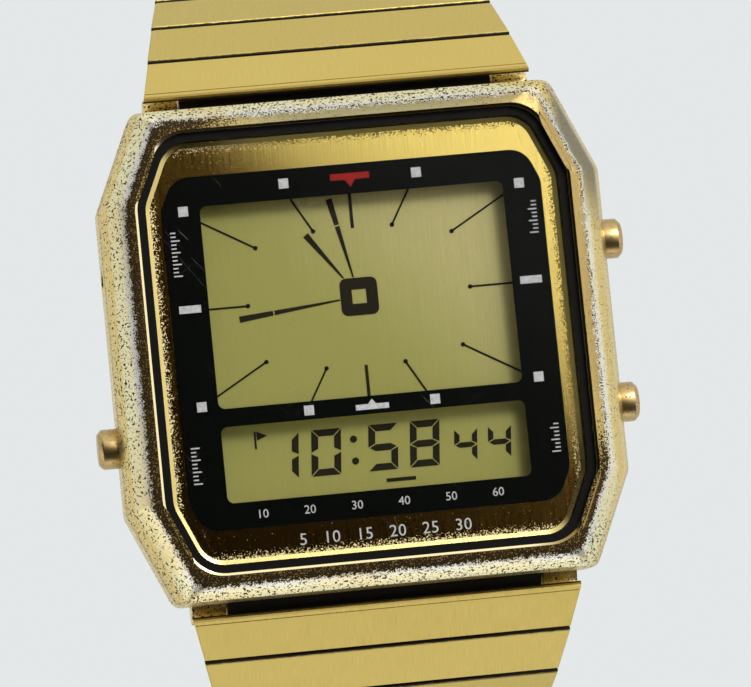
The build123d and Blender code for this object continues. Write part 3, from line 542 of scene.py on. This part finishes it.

# %% [markdown]
# The white metal shows where the gold is rubbed off: along the ridge and over the outer
# facet, where it is still creamy, and along the low edge toward the wrist. On the right,
# above the lower corner, the outer facet has kept more of its gold. The inner facet is
# matt, and its colour is painted by side. Toward the light it is a darker olive gold, a
# painted shade. Away from the light it is a deep brown, a painted dark reflection, and
# its pits there are painted brown too. The narrow strip at the opening has stayed
# polished. On the right and toward the light it is painted dark, a painted shade over
# its reflection.

# %% Colour the case
gold_deep = color(0.74, 0.55, 0.18)
gold_pale = color(0.88, 0.71, 0.32)
# Painted shade and painted dark reflection: the inner facet's gold toward the light, on the left
# and on the right, and its deep brown away from the light.
inner_gold_painted_shade = color(0.34, 0.30, 0.16)
inner_gold_painted_shade_right = color(0.46, 0.34, 0.13)
inner_gold_painted_dark_reflection = color(0.40, 0.27, 0.07)
bare_silver = color(0.79, 0.77, 0.70)
bare_cream = color(0.90, 0.83, 0.53)
grey_film_color = color(0.20, 0.18, 0.13)
# The strip's second colour is a painted shade over its reflection.
strip_bright = color(0.92, 0.80, 0.48)
strip_painted_shade = color(0.30, 0.21, 0.07)
pit_black = color(0.022, 0.014, 0.007)
# Pit colour on the inner facet away from the light, a painted dark reflection.
pit_painted_dark_side = color(0.055, 0.032, 0.010)
bare_from_depths = (0.24, 0.36)
bare_to_depth = 1.25
bare_to_depth_right = 0.66
bare_border = 0.30
bare_low_edge_depths = (5.6, 6.3)
cream_depths = (0.50, 0.85)
gold_kept_from = (-13 * mm, -8 * mm)
# Where the strip's painted shade starts on the right.
strip_painted_shade_from = (9 * mm, 12 * mm)


def bare_mask(tree, at):
    level = at["level"]
    gold_kept = times(tree, at["right_side"], remap(tree, at["y"], *gold_kept_from))
    bare_end = mix_values(tree, gold_kept, bare_to_depth, bare_to_depth_right)
    past_end = calculate(tree, "ADD", bare_end, bare_border)
    facet = times(tree, remap(tree, level, *bare_from_depths),
                  remap(tree, level, past_end, bare_end))
    low_edge = remap(tree, level, *bare_low_edge_depths)
    patchy = remap(tree, at["broad_noise"], 0.30, 0.60, 0.35, 1.0)
    return times(tree, calculate(tree, "MAXIMUM", facet, low_edge), patchy)


def case_color(tree, at, grey_film, pits):
    inner, lit_side = at["inner_facet"], at["lit_side"]
    gold = blend_colors(tree, at["broad_noise"], gold_deep, gold_pale)
    # Painted shade and painted dark reflection on the inner facet, chosen by its side.
    painted_shade_gold = blend_colors(tree, at["right_side"], inner_gold_painted_shade, inner_gold_painted_shade_right)
    gold = blend_colors(tree, times(tree, inner, lit_side), gold, painted_shade_gold)
    painted_dark_side = times(tree, inner, calculate(tree, "SUBTRACT", 0.85, lit_side, clamp=True))
    gold = blend_colors(tree, painted_dark_side, gold, inner_gold_painted_dark_reflection)
    bare = blend_colors(tree, remap(tree, at["level"], *cream_depths), bare_silver, bare_cream)
    metal = blend_colors(tree, bare_mask(tree, at), gold, bare)
    metal = blend_colors(tree, grey_film, metal, grey_film_color)
    # Painted shade over the polished strip, on the right and toward the light.
    painted_shade_share = calculate(tree, "MAXIMUM", lit_side, remap(tree, at["x"], *strip_painted_shade_from))
    strip = blend_colors(tree, painted_shade_share, strip_bright, strip_painted_shade)
    metal = blend_colors(tree, at["polished_strip"], metal, strip)
    # Pits away from the light are painted brown, a painted dark reflection.
    return blend_colors(tree, pits, metal, blend_colors(tree, painted_dark_side, pit_black, pit_painted_dark_side))


print("the outer facet is bare to", bare_to_depth, "mm below the bezel's top")

# %% [markdown]
# The masks now come together. Pits are rougher than the metal and lie a little below it,
# and the polished strip is smooth.

# %% Finish of the case
pit_relief = 0.03 * mm
case_roughness = 0.30
matt_roughness_more = 0.14
pit_roughness_more = 0.30
strip_roughness = 0.16
pit_metallic = 0.8
fine_relief_share = 0.5


def case_finish():
    finish, tree, shader, place = start_finish("worn_gold", color(0.8, 0.6, 0.25), 0.3, 1.0)
    at = read_case_places(tree, place)
    grey_film = grey_film_mask(tree, at)
    pits = pit_mask(tree, place, at, grey_film)
    shown = case_color(tree, at, grey_film, pits)
    tree.links.new(shown, shader.inputs["Base Color"])
    rough = calculate(tree, "ADD", times(tree, at["inner_facet"], matt_roughness_more),
                      times(tree, pits, pit_roughness_more))
    rough = calculate(tree, "ADD", rough, case_roughness)
    rough = mix_values(tree, at["polished_strip"], rough, strip_roughness)
    tree.links.new(rough, shader.inputs["Roughness"])
    tree.links.new(mix_values(tree, pits, 1.0, pit_metallic), shader.inputs["Metallic"])
    fine_relief = times(tree, at["fine_noise"], fine_relief_share)
    relief = calculate(tree, "SUBTRACT", fine_relief, pits)
    relief = times(tree, relief, opposite(tree, at["polished_strip"]))
    add_bump(tree, shader, relief, pit_relief)
    return finish


finishes["worn_gold"] = case_finish()
print("nodes in the case's finish:", len(finishes["worn_gold"].node_tree.nodes))

# %% [markdown]
# The bracelet is satin gold. Its fine grain runs along the links. A painted shade darkens
# wherever the links shelter each other, standing in for the deep shadow in the gaps. Each
# link carries a value for how far a point lies below its plate, in millimetres, so the
# painted shade starts at the edges of the plates and fills the gaps between them.

# %% Finish of the bracelet and the clasp
satin_streak = (0.035, 1.2, 1.2)
satin_deep = color(0.62, 0.47, 0.13)
satin_pale = color(0.68, 0.545, 0.18)
satin_streak_color = color(0.60, 0.46, 0.135)
# Painted shade between the links, darkest in the gaps.
painted_shade_color = color(0.020, 0.016, 0.010)
painted_shade_depths = (0.02, 0.07)
painted_shade_shift = 0.08
satin_roughness = (0.36, 0.44)
painted_shade_roughness_more = 0.35
painted_shade_metallic = 0.2
satin_relief = 0.003 * mm


def satin_finish():
    finish, tree, shader, place = start_finish("satin_gold", color(0.83, 0.60, 0.26), 0.38, 1.0)
    grain = use_group(tree, brushed_grain, {"Vector": place, "Streak": satin_streak})
    broad = add_noise(tree, place, 0.07 / mm, 2.0)
    satin = blend_colors(tree, broad, satin_deep, satin_pale)
    satin = blend_colors(tree, remap(tree, grain, 0.30, 0.70), satin, satin_streak_color)
    # Painted shade wherever the links shelter each other, from the depth below each plate.
    sheltered = add_node(tree, "ShaderNodeAttribute", attribute_name="depth_below_plate")
    uneven = calculate(tree, "SUBTRACT", add_noise(tree, place, 2.2 / mm, 3.0), 0.5)
    reach = calculate(tree, "ADD", sheltered.outputs["Fac"], times(tree, uneven, painted_shade_shift))
    painted_shade = remap(tree, reach, *painted_shade_depths)
    shown = blend_colors(tree, painted_shade, satin, painted_shade_color)
    tree.links.new(shown, shader.inputs["Base Color"])
    rough = calculate(tree, "ADD", remap(tree, grain, 0.3, 0.7, *satin_roughness),
                      times(tree, painted_shade, painted_shade_roughness_more))
    tree.links.new(rough, shader.inputs["Roughness"])
    tree.links.new(mix_values(tree, painted_shade, 1.0, painted_shade_metallic), shader.inputs["Metallic"])
    add_bump(tree, shader, grain, satin_relief)
    return finish


finishes["satin_gold"] = satin_finish()
print("grime starts", painted_shade_depths[0], "mm below the plates")

# %% [markdown]
# The pushers are a little redder and darker than the case. One even metal would do for
# pieces this small, and small dark specks of dirt on it keep them from looking new.

# %% Finish of the pushers
pusher_plating = color(0.52, 0.38, 0.17)
pusher_dirt = color(0.12, 0.06, 0.03)
pusher_roughness = (0.32, 0.55)


def pusher_finish():
    finish, tree, shader, place = start_finish("pusher_gold", color(0.62, 0.44, 0.19), 0.26, 1.0)
    dirt = use_group(tree, specks, {"Vector": place, "Spacing": 0.14, "Amount": 0.42})
    shown = blend_colors(tree, dirt, pusher_plating, pusher_dirt)
    tree.links.new(shown, shader.inputs["Base Color"])
    tree.links.new(mix_values(tree, dirt, *pusher_roughness), shader.inputs["Roughness"])
    return finish


finishes["pusher_gold"] = pusher_finish()
print("made", finishes["pusher_gold"].name)

# %% [markdown]
# The back, the clasp's blades and the pieces inside the case have plain finishes. They
# still get a touch of unevenness, because a perfectly even surface is the first thing
# that gives a model away.

# %% Plain finishes of the hidden and small pieces
uneven_spacing = 0.6 * mm
uneven_roughness = 0.08
smoothest = 0.02
darkest_share = 0.72


def plain_finish(name, base, roughness, metallic=0.0, gloss=0.5):
    finish, tree, shader, place = start_finish(name, base, roughness, metallic)
    shader.inputs["Specular IOR Level"].default_value = gloss
    noise = add_noise(tree, place, 1.0 / uneven_spacing, 4.0)
    shown = blend_colors(tree, noise, darkened(base, darkest_share), base)
    tree.links.new(shown, shader.inputs["Base Color"])
    spread = remap(tree, noise, 0.25, 0.75, max(roughness - uneven_roughness, smoothest),
                   roughness + uneven_roughness)
    tree.links.new(spread, shader.inputs["Roughness"])
    return finish


plain_finishes = {
    "black_rubber": (color(0.004, 0.0036, 0.003), 0.5, 0.0, 0.12),
    "foil": (color(0.72, 0.72, 0.70), 0.35, 1.0),
    "module_plastic": (color(0.30, 0.27, 0.20), 0.55),
    "connector_rubber": (color(0.05, 0.05, 0.05), 0.6),
    "lamp_glass": (color(0.70, 0.72, 0.70), 0.15),
    "board_green": (color(0.02, 0.11, 0.05), 0.4),
    "chip_black": (color(0.02, 0.02, 0.02), 0.5),
    "bright_steel": (color(0.62, 0.61, 0.58), 0.25, 1.0),
    "cell_steel": (color(0.66, 0.66, 0.65), 0.22, 1.0),
    "disc_brass": (color(0.72, 0.52, 0.22), 0.3, 1.0),
    "back_steel": (color(0.60, 0.59, 0.57), 0.32, 1.0),
    "blade_steel": (color(0.66, 0.63, 0.56), 0.28, 1.0),
}
for name, settings in plain_finishes.items():
    finishes[name] = plain_finish(name, *settings)
print("plain finishes:", len(plain_finishes))

# %% [markdown]
# The printed frame behind the crystal is mirror gold with a fine upright grain, and
# chips along its outer edge where the print has lifted. Its colour is painted dark on the
# side away from the light and bright toward it, a painted reflection. The chips are
# painted bright on the dark side and dark on the bright side, painted light and shade on
# real chips. The flange round it has the same print, but stands a little higher, which
# tells the two apart. Toward the light it is painted a dull olive, a painted shade,
# because there it faces away from it.

# %% Finish of the printed frame
# Painted reflection: the print is painted dark on the side away from the light and bright toward
# it.
print_painted_dark_reflection = color(0.27, 0.155, 0.03)
print_painted_bright_reflection = color(0.93, 0.72, 0.20)
flange_gold = color(0.62, 0.51, 0.20)
# Painted shade: the flange's olive toward the light.
flange_painted_shade_olive = color(0.50, 0.42, 0.12)
# Painted light and shade on the chips: bright on the dark side, dark on the bright side.
chip_painted_bright = color(0.98, 0.86, 0.50)
chip_painted_dark = color(0.50, 0.35, 0.10)
print_lit_range = (2 * mm, 10 * mm)
flange_heights = (plate_high.z + 0.004 * mm, plate_high.z + 0.016 * mm)
chipped_edge = (1.0 * mm, 0.1 * mm)
print_streak = (0.08, 3.0, 3.0)
chips_everywhere = 0.24
chips_at_edge_more = 0.40
print_roughness = (0.07, 0.13)
flange_roughness = 0.24
rough_spots_more = 0.45
olive_metallic = 0.15
grain_relief_share = 0.06
print_relief = 0.01 * mm


def chip_mask(tree, place, axis, flange_part):
    edge_x = calculate(tree, "SUBTRACT", plate_high.x, calculate(tree, "ABSOLUTE", axis["X"]))
    edge_y = calculate(tree, "SUBTRACT", plate_high.y, calculate(tree, "ABSOLUTE", axis["Y"]))
    from_edge = calculate(tree, "MINIMUM", edge_x, edge_y)
    near_edge = remap(tree, from_edge, *chipped_edge, 0.0, chips_at_edge_more)
    amount = calculate(tree, "ADD", near_edge, chips_everywhere)
    chips = use_group(tree, specks, {"Vector": place, "Spacing": 0.10, "Amount": amount})
    return times(tree, chips, opposite(tree, flange_part))


def frame_print_finish():
    finish, tree, shader, place = start_finish("gold_print", color(0.93, 0.73, 0.22), 0.1, 1.0)
    axis = add_node(tree, "ShaderNodeSeparateXYZ", {0: place}).outputs
    flange_part = remap(tree, axis["Z"], *flange_heights)
    lit_side = remap(tree, calculate(tree, "ADD", axis["X"], axis["Y"]), *print_lit_range)
    chips = chip_mask(tree, place, axis, flange_part)
    # Painted reflection on the plate, painted shade on the flange and painted light and shade on
    # the chips, all chosen by side.
    plate = blend_colors(tree, lit_side, print_painted_dark_reflection, print_painted_bright_reflection)
    rim = blend_colors(tree, lit_side, flange_gold, flange_painted_shade_olive)
    shown = blend_colors(tree, flange_part, plate, rim)
    shown = blend_colors(tree, chips, shown, blend_colors(tree, lit_side, chip_painted_bright, chip_painted_dark))
    tree.links.new(shown, shader.inputs["Base Color"])
    # Less metal where the flange is painted olive, part of its painted shade.
    painted_shade_share = times(tree, flange_part, lit_side)
    tree.links.new(mix_values(tree, painted_shade_share, 1.0, olive_metallic), shader.inputs["Metallic"])
    scratch = use_group(tree, hair_scratches, {
        "Vector": place, "Angle": 1.3, "Thin": 0.002, "Patch": 0.64})
    grain = use_group(tree, brushed_grain, {"Vector": place, "Streak": print_streak})
    rough_spots = calculate(tree, "MAXIMUM", chips, scratch)
    smooth = remap(tree, grain, 0.3, 0.7, *print_roughness)
    smooth = mix_values(tree, flange_part, smooth, flange_roughness)
    rough = calculate(tree, "ADD", smooth, times(tree, rough_spots, rough_spots_more))
    tree.links.new(rough, shader.inputs["Roughness"])
    relief = calculate(tree, "SUBTRACT", times(tree, grain, grain_relief_share), rough_spots)
    add_bump(tree, shader, relief, print_relief)
    return finish


finishes["gold_print"] = frame_print_finish()
print("chips start", chipped_edge[0] / mm, "mm from the edge of the frame")

# %% [markdown]
# The mask is deep black with a little dust. The marks are paint, thinner in places, so
# they vary between the paint's colour and a darker one. The segments of the liquid
# crystal are made the same way, because a driven segment is as dull as ink.

# %% Finishes of the black mask, the marks and the segments
mask_black = color(0.002, 0.0028, 0.002)
dust_color = color(0.10, 0.09, 0.06)
mask_gloss = 0.07
mask_roughness = (0.2, 0.6)
thin_paint_share = 0.78


def black_print_finish():
    finish, tree, shader, place = start_finish("black_print", color(0.002, 0.003, 0.002), 0.22)
    shader.inputs["Specular IOR Level"].default_value = mask_gloss
    dust = use_group(tree, specks, {"Vector": place, "Spacing": 0.12, "Amount": 0.12})
    shown = blend_colors(tree, dust, mask_black, dust_color)
    tree.links.new(shown, shader.inputs["Base Color"])
    tree.links.new(mix_values(tree, dust, *mask_roughness), shader.inputs["Roughness"])
    return finish


def ink_finish(name, base, roughness, gloss):
    finish, tree, shader, place = start_finish(name, base, roughness)
    shader.inputs["Specular IOR Level"].default_value = gloss
    paint = remap(tree, add_noise(tree, place, 5.0 / mm, 3.0), 0.35, 0.65)
    shown = blend_colors(tree, paint, darkened(base, thin_paint_share), base)
    tree.links.new(shown, shader.inputs["Base Color"])
    return finish


inks = {
    "white_print": (color(0.62, 0.63, 0.65), 0.5, 0.5),
    "red_print": (color(0.37, 0.013, 0.009), 0.45, 0.15),
    "lcd_ink": (color(0.016, 0.014, 0.005), 0.5, 0.1),
}
finishes["black_print"] = black_print_finish()
for name, settings in inks.items():
    finishes[name] = ink_finish(name, *settings)
print("inks:", len(inks))

# %% [markdown]
# A reflective liquid crystal film is a dull olive yellow. It darkens toward the bottom
# left. A fine mottle and the upright grain of its reflector keep it from looking like
# painted card.

# %% Finish of the liquid crystal film
film_dark = color(0.335, 0.325, 0.062)
film_light = color(0.56, 0.50, 0.20)
film_mottle = color(0.30, 0.27, 0.09)
film_streak_color = color(0.24, 0.23, 0.05)
film_range = (-2 * mm, 17 * mm)
film_streak = (0.10, 4.0, 4.0)


def film_finish():
    finish, tree, shader, place = start_finish("lcd_film", color(0.42, 0.38, 0.16), 0.55)
    axis = add_node(tree, "ShaderNodeSeparateXYZ", {0: place}).outputs
    slant = calculate(tree, "ADD", axis["X"], axis["Y"])
    shown = blend_colors(tree, remap(tree, slant, *film_range), film_dark, film_light)
    mottle = remap(tree, add_noise(tree, place, 4.0 / mm, 3.0), 0.3, 0.7, 0.0, 0.12)
    shown = blend_colors(tree, mottle, shown, film_mottle)
    grain = use_group(tree, brushed_grain, {"Vector": place, "Streak": film_streak})
    streaks = remap(tree, grain, 0.35, 0.65, 0.0, 0.16)
    shown = blend_colors(tree, streaks, shown, film_streak_color)
    tree.links.new(shown, shader.inputs["Base Color"])
    return finish


finishes["lcd_film"] = film_finish()
print("made", finishes["lcd_film"].name)

# %% [markdown]
# Clear glass is costly to trace and it hides the dial from the lamps. The crystal is
# therefore mostly see-through by its alpha, with a strong mirror in the little that is
# left, which gives the veil of light that real glass adds. Scratches are less clear.

# %% Finish of the crystal
scratch_pale = color(0.55, 0.52, 0.42)
glass_black = color(0.0, 0.0, 0.0)
veil_ior = 3.0
veil_share = 0.007
scratch_share = 0.16
glass_roughness = 0.03
scratch_roughness = 0.5


def crystal_finish():
    finish, tree, shader, place = start_finish("crystal_glass", glass_black, glass_roughness)
    shader.inputs["IOR"].default_value = veil_ior
    first = use_group(tree, hair_scratches, {
        "Vector": place, "Angle": 0.9, "Thin": 0.0018, "Patch": 0.61})
    second = use_group(tree, hair_scratches, {
        "Vector": place, "Angle": -0.5, "Thin": 0.0016, "Patch": 0.64})
    marks = calculate(tree, "MAXIMUM", first, second)
    shown = blend_colors(tree, marks, glass_black, scratch_pale)
    tree.links.new(shown, shader.inputs["Base Color"])
    tree.links.new(mix_values(tree, marks, veil_share, scratch_share), shader.inputs["Alpha"])
    rough = mix_values(tree, marks, glass_roughness, scratch_roughness)
    tree.links.new(rough, shader.inputs["Roughness"])
    return finish


finishes["crystal_glass"] = crystal_finish()
print("finishes:", len(finishes))

# %% [markdown]
# A machined edge is never perfectly sharp, and the thin highlight along it is what makes
# metal look solid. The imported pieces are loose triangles, so each visible metal piece is
# copied, its points are merged, its flat faces are joined up again, and then its sharp
# edges are bevelled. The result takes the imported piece's place, body and finish.

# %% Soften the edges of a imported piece
merge_distance = 0.002 * mm
flat_angle = math.radians(1)
sharp_angle = math.radians(28)
shading_angle = math.radians(35)


def joined_copy(name):
    bm = bmesh.new()
    bm.from_mesh(nodes[name].data)
    bmesh.ops.remove_doubles(bm, verts=bm.verts, dist=merge_distance)
    bmesh.ops.dissolve_limit(bm, angle_limit=flat_angle, verts=bm.verts, edges=bm.edges)
    return bm


def sharp_edges(bm, least=sharp_angle):
    return [edge for edge in bm.edges if edge.is_manifold and edge.calc_face_angle() > least]


def bevel_edges(bm, edges, offset, segments, clamp=True):
    return bmesh.ops.bevel(bm, geom=edges, offset=offset, offset_type="OFFSET", affect="EDGES",
                           segments=segments, profile=0.5, material=-1, clamp_overlap=clamp)


def finish_piece(bm, name, body, slot, replaced=()):
    mesh = bpy.data.meshes.new(name)
    bm.to_mesh(mesh)
    bm.free()
    mesh.shade_smooth()
    mesh.set_sharp_from_angle(angle=shading_angle)
    piece = bpy.data.objects.new(name, mesh)
    bpy.context.scene.collection.objects.link(piece)
    mesh.materials.clear()
    mesh.materials.append(finishes[slot])
    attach(piece, body)
    if replaced:
        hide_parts(*replaced)
    return piece


def take_place_of(bm, name):
    return finish_piece(bm, name + "_soft", body_of_node[name], slot_of_node[name], [name])


def keep_faces_flat(piece):
    weighted = piece.modifiers.new("flat_faces", "WEIGHTED_NORMAL")
    weighted.keep_sharp = True


print("edges over", round(math.degrees(sharp_angle)), "degrees count as sharp")

# %% [markdown]
# The opening for the crystal has a wider, polished chamfer than the other edges of the
# case, so it is bevelled first and the rest afterwards. A plain bevel would lean at 45
# degrees and stay dark. The points on the wall are lifted, so that the strip lies
# flatter and catches the light. Its faces carry a mark, which the finish reads.

# %% Make the shell of the case
chamfer_width = 0.20 * mm
chamfer_drop = 0.09 * mm
case_edge = 0.07 * mm
top_tolerance = 0.01 * mm
wall_share = 0.9


def case_shell():
    bm = joined_copy("case_middle")
    polished = bm.faces.layers.float.new("polished")
    at_top = [edge for edge in sharp_edges(bm)
              if min(v.co.z for v in edge.verts) > bezel_top - top_tolerance]
    strip = bevel_edges(bm, at_top, chamfer_width, 1, clamp=False)["faces"]
    for face in strip:
        face[polished] = 1.0
    wall_points = {v for face in strip for v in face.verts
                   if v.co.z < bezel_top - wall_share * chamfer_width}
    for vertex in wall_points:
        vertex.co.z += chamfer_width - chamfer_drop
    print("opening chamfer: faces", len(strip), "points on the wall", len(wall_points))
    below = bezel_top - 2 * chamfer_width
    others = [edge for edge in sharp_edges(bm) if max(v.co.z for v in edge.verts) < below]
    bevel_edges(bm, others, case_edge, 3)
    return finish_piece(bm, "case_shell", "case", "worn_gold", ["case_middle"])


case = case_shell()
print("case faces:", len(case.data.polygons))

# %% [markdown]
# Smooth shading would blend the polished strip into the facets beside it. So every edge
# with the strip on one side only is marked sharp.

# %% Keep the polished strip crisp
def keep_strip_crisp(piece):
    mesh = piece.data
    polished = mesh.attributes["polished"].data
    values_at_edge = {}
    for face in mesh.polygons:
        for key in face.edge_keys:
            values_at_edge.setdefault(key, []).append(polished[face.index].value)
    crisp_edges = 0
    for edge in mesh.edges:
        values = values_at_edge[edge.key]
        if max(values) != min(values):
            edge.use_edge_sharp = True
            crisp_edges += 1
    return crisp_edges


print("edges kept crisp:", keep_strip_crisp(case))
keep_faces_flat(case)

# %% [markdown]
# The crystal's rim shows a line of gold all round. It comes from a narrow flange that
# slopes inwards, between the crystal and the printed frame, so it catches the light on
# the sides where the outer facets are dark. The underside of the crystal has the right
# outline, so one inset of that face makes the flange.

# %% Make the gold flange under the crystal's rim
flange_width = 0.30 * mm
flange_drop = 0.075 * mm
flange_gap = 0.008 * mm
flange_sheet = 0.008 * mm


def rim_flange():
    bm = joined_copy("crystal")
    under = min(bm.faces, key=lambda face: face.calc_center_median().z)
    others = [face for face in bm.faces if face is not under]
    bmesh.ops.delete(bm, geom=others, context="FACES")
    inset = bmesh.ops.inset_region(bm, faces=list(bm.faces), thickness=flange_width,
                                   depth=flange_drop, use_even_offset=True, use_boundary=True)
    inner = [face for face in bm.faces if face not in inset["faces"]]
    bmesh.ops.delete(bm, geom=inner, context="FACES")
    bmesh.ops.reverse_faces(bm, faces=list(bm.faces))
    bmesh.ops.translate(bm, vec=(0, 0, -flange_gap), verts=list(bm.verts))
    bmesh.ops.solidify(bm, geom=list(bm.faces), thickness=flange_sheet)
    return finish_piece(bm, "rim_flange", "case", "gold_print")


flange = rim_flange()
print("flange faces:", len(flange.data.polygons))

# %% [markdown]
# Printed numbers are thin raised ink: one row on the mask and one on the frame. Type
# starts as a text curve, is made a mesh while it still lies at the origin, and is then
# scaled to its printed height and moved to its line. The numbers are plain ones.

# %% Print the numbers
ink_height = 0.03 * mm
mask_numbers = [10, 20, 30, 40, 50, 60]
mask_line_y = -10.8 * mm
mask_first_x = -7.88 * mm
mask_number_pitch = 3.126 * mm
mask_cap = 0.56 * mm
frame_numbers = "5   10   15   20   25   30"
frame_line_x = 0.075 * mm
frame_line_y = -12.72 * mm
frame_cap = 0.78 * mm
frame_letter_spacing = 1.05
type_half_thickness = 0.5
type_curve_steps = 3
smallest_gap = 0.0005 * mm


def add_type(bm, words, cap, x, y, spacing=1.0):
    curve = bpy.data.curves.new("type", "FONT")
    curve.body = words
    curve.align_x = "CENTER"
    curve.space_character = spacing
    curve.resolution_u = type_curve_steps
    curve.extrude = type_half_thickness
    holder = bpy.data.objects.new("type", curve)
    bpy.context.scene.collection.objects.link(holder)
    bpy.context.view_layer.update()
    mesh = bpy.data.meshes.new_from_object(holder)
    bpy.data.objects.remove(holder)
    low = min(vertex.co.y for vertex in mesh.vertices)
    high = max(vertex.co.y for vertex in mesh.vertices)
    scale = cap / (high - low)
    onto_line = Matrix.Translation((x, y, mask_top))
    to_size = Matrix.Diagonal((scale, scale, ink_height, 1.0))
    to_middle = Matrix.Translation((0.0, -(low + high) / 2, type_half_thickness))
    mesh.transform(onto_line @ to_size @ to_middle)
    bm.from_mesh(mesh)


def printed_numbers():
    bm = bmesh.new()
    for place, number in enumerate(mask_numbers):
        add_type(bm, str(number), mask_cap, mask_first_x + mask_number_pitch * place, mask_line_y)
    add_type(bm, frame_numbers, frame_cap, frame_line_x, frame_line_y, frame_letter_spacing)
    bmesh.ops.remove_doubles(bm, verts=bm.verts, dist=smallest_gap)
    bmesh.ops.recalc_face_normals(bm, faces=bm.faces)
    return finish_piece(bm, "printed_numbers", "case", "white_print")


numbers = printed_numbers()
print("printed numbers, faces:", len(numbers.data.polygons))

# %% [markdown]
# Beside each pusher the mask has a short upright scale of plain ticks, with every third
# tick longer. Each tick is a flat box of ink.

# %% Print the small scales beside the pushers
scale_x = 11.9 * mm
tick_width = 0.09 * mm
tick_pitch = 0.26 * mm
long_tick = 0.58 * mm
short_tick = 0.34 * mm
left, right = -1, 1
pusher_scale_places = [(left, 6.66 * mm, 12), (left, -7.32 * mm, 10),
                       (right, 7.14 * mm, 9), (right, -7.59 * mm, 8)]


def add_tick(bm, x, y, length):
    onto_scale = Matrix.Translation((x, y, mask_top + ink_height / 2))
    to_size = Matrix.Diagonal((length, tick_width, ink_height, 1.0))
    bmesh.ops.create_cube(bm, size=1.0, matrix=onto_scale @ to_size)


def pusher_scales():
    bm = bmesh.new()
    for side, center_y, count in pusher_scale_places:
        for index in range(count):
            length = long_tick if index % 3 == 0 else short_tick
            x = side * (scale_x + (long_tick - length) / 2)
            y = center_y + (index - (count - 1) / 2) * tick_pitch
            add_tick(bm, x, y, length)
    return finish_piece(bm, "pusher_scales", "case", "white_print")


scales = pusher_scales()
print("scale faces:", len(scales.data.polygons))

# %% [markdown]
# Each link gets soft edges and one value a corner: how far it lies below the outer face
# of the plate, which is the largest face of the link. That value drives the painted shade
# between the links. The sides and the faces toward the wrist are kept out of the painted
# shade, so their value is kept small. The end links have their value lowered, so their
# rounded lip, which nothing shelters, stays free of it too.

# %% Soften the bracelet
link_edge = 0.05 * mm
link_edge_angle = math.radians(50)
# Limits that keep the painted shade off the sides, the faces toward the wrist and the end links.
wrist_or_side_depth = 0.02
end_link_unshaded_depth = 0.24


# Faces toward the wrist and sideways faces are kept out of the painted shade.
def is_rubbed(face, outward):
    toward_wrist = face.normal.dot(outward) < -0.3
    sideways = abs(face.normal.x) > 0.5
    return toward_wrist or sideways


def soft_link(name):
    bm = joined_copy(name)
    plate = max(bm.faces, key=lambda face: face.calc_area())
    outward = plate.normal.copy()
    level = plate.calc_center_median().dot(outward)
    bevel_edges(bm, sharp_edges(bm, link_edge_angle), link_edge, 2)
    layer = bm.loops.layers.float.new("depth_below_plate")
    # End links get a lowered value, so less painted shade.
    end_link_unshaded = end_link_unshaded_depth if name.endswith("_end_link") else 0.0
    for face in bm.faces:
        wrist_or_side = is_rubbed(face, outward)
        for corner in face.loops:
            depth = (level - corner.vert.co.dot(outward)) / mm - end_link_unshaded
            corner[layer] = min(depth, wrist_or_side_depth) if wrist_or_side else depth
    return take_place_of(bm, name)


links = [name for name in nodes if "_link" in name]
for name in links:
    keep_faces_flat(soft_link(name))
print("softened links:", len(links))

# %% [markdown]
# The clasp, the back, its screws and the pushers are softened too. Folded sheet has
# rounder edges than small screws and pushers, so each piece has its own bevel.

# %% Soften the clasp, the back and the pushers
edges_of_pieces = {"clasp_cover": 0.12 * mm, "clasp_middle_blade": 0.08 * mm,
                   "clasp_base_blade": 0.08 * mm, "case_back": 0.08 * mm,
                   "case_back_screws": 0.04 * mm}
pusher_edge = 0.06 * mm
for name in nodes:
    if name.endswith("_button"):
        edges_of_pieces[name] = pusher_edge

for name, edge in edges_of_pieces.items():
    bm = joined_copy(name)
    bevel_edges(bm, sharp_edges(bm), edge, 2)
    keep_faces_flat(take_place_of(bm, name))
print("softened pieces:", len(edges_of_pieces))

# %% [markdown]
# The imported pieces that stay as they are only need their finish. The ones replaced above
# get it too, which does no harm, because they aren't shown.

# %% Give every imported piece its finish
for name, piece in nodes.items():
    piece.data.materials.clear()
    piece.data.materials.append(finishes[slot_of_node[name]])
print("packed pieces with a finish:", len(nodes))
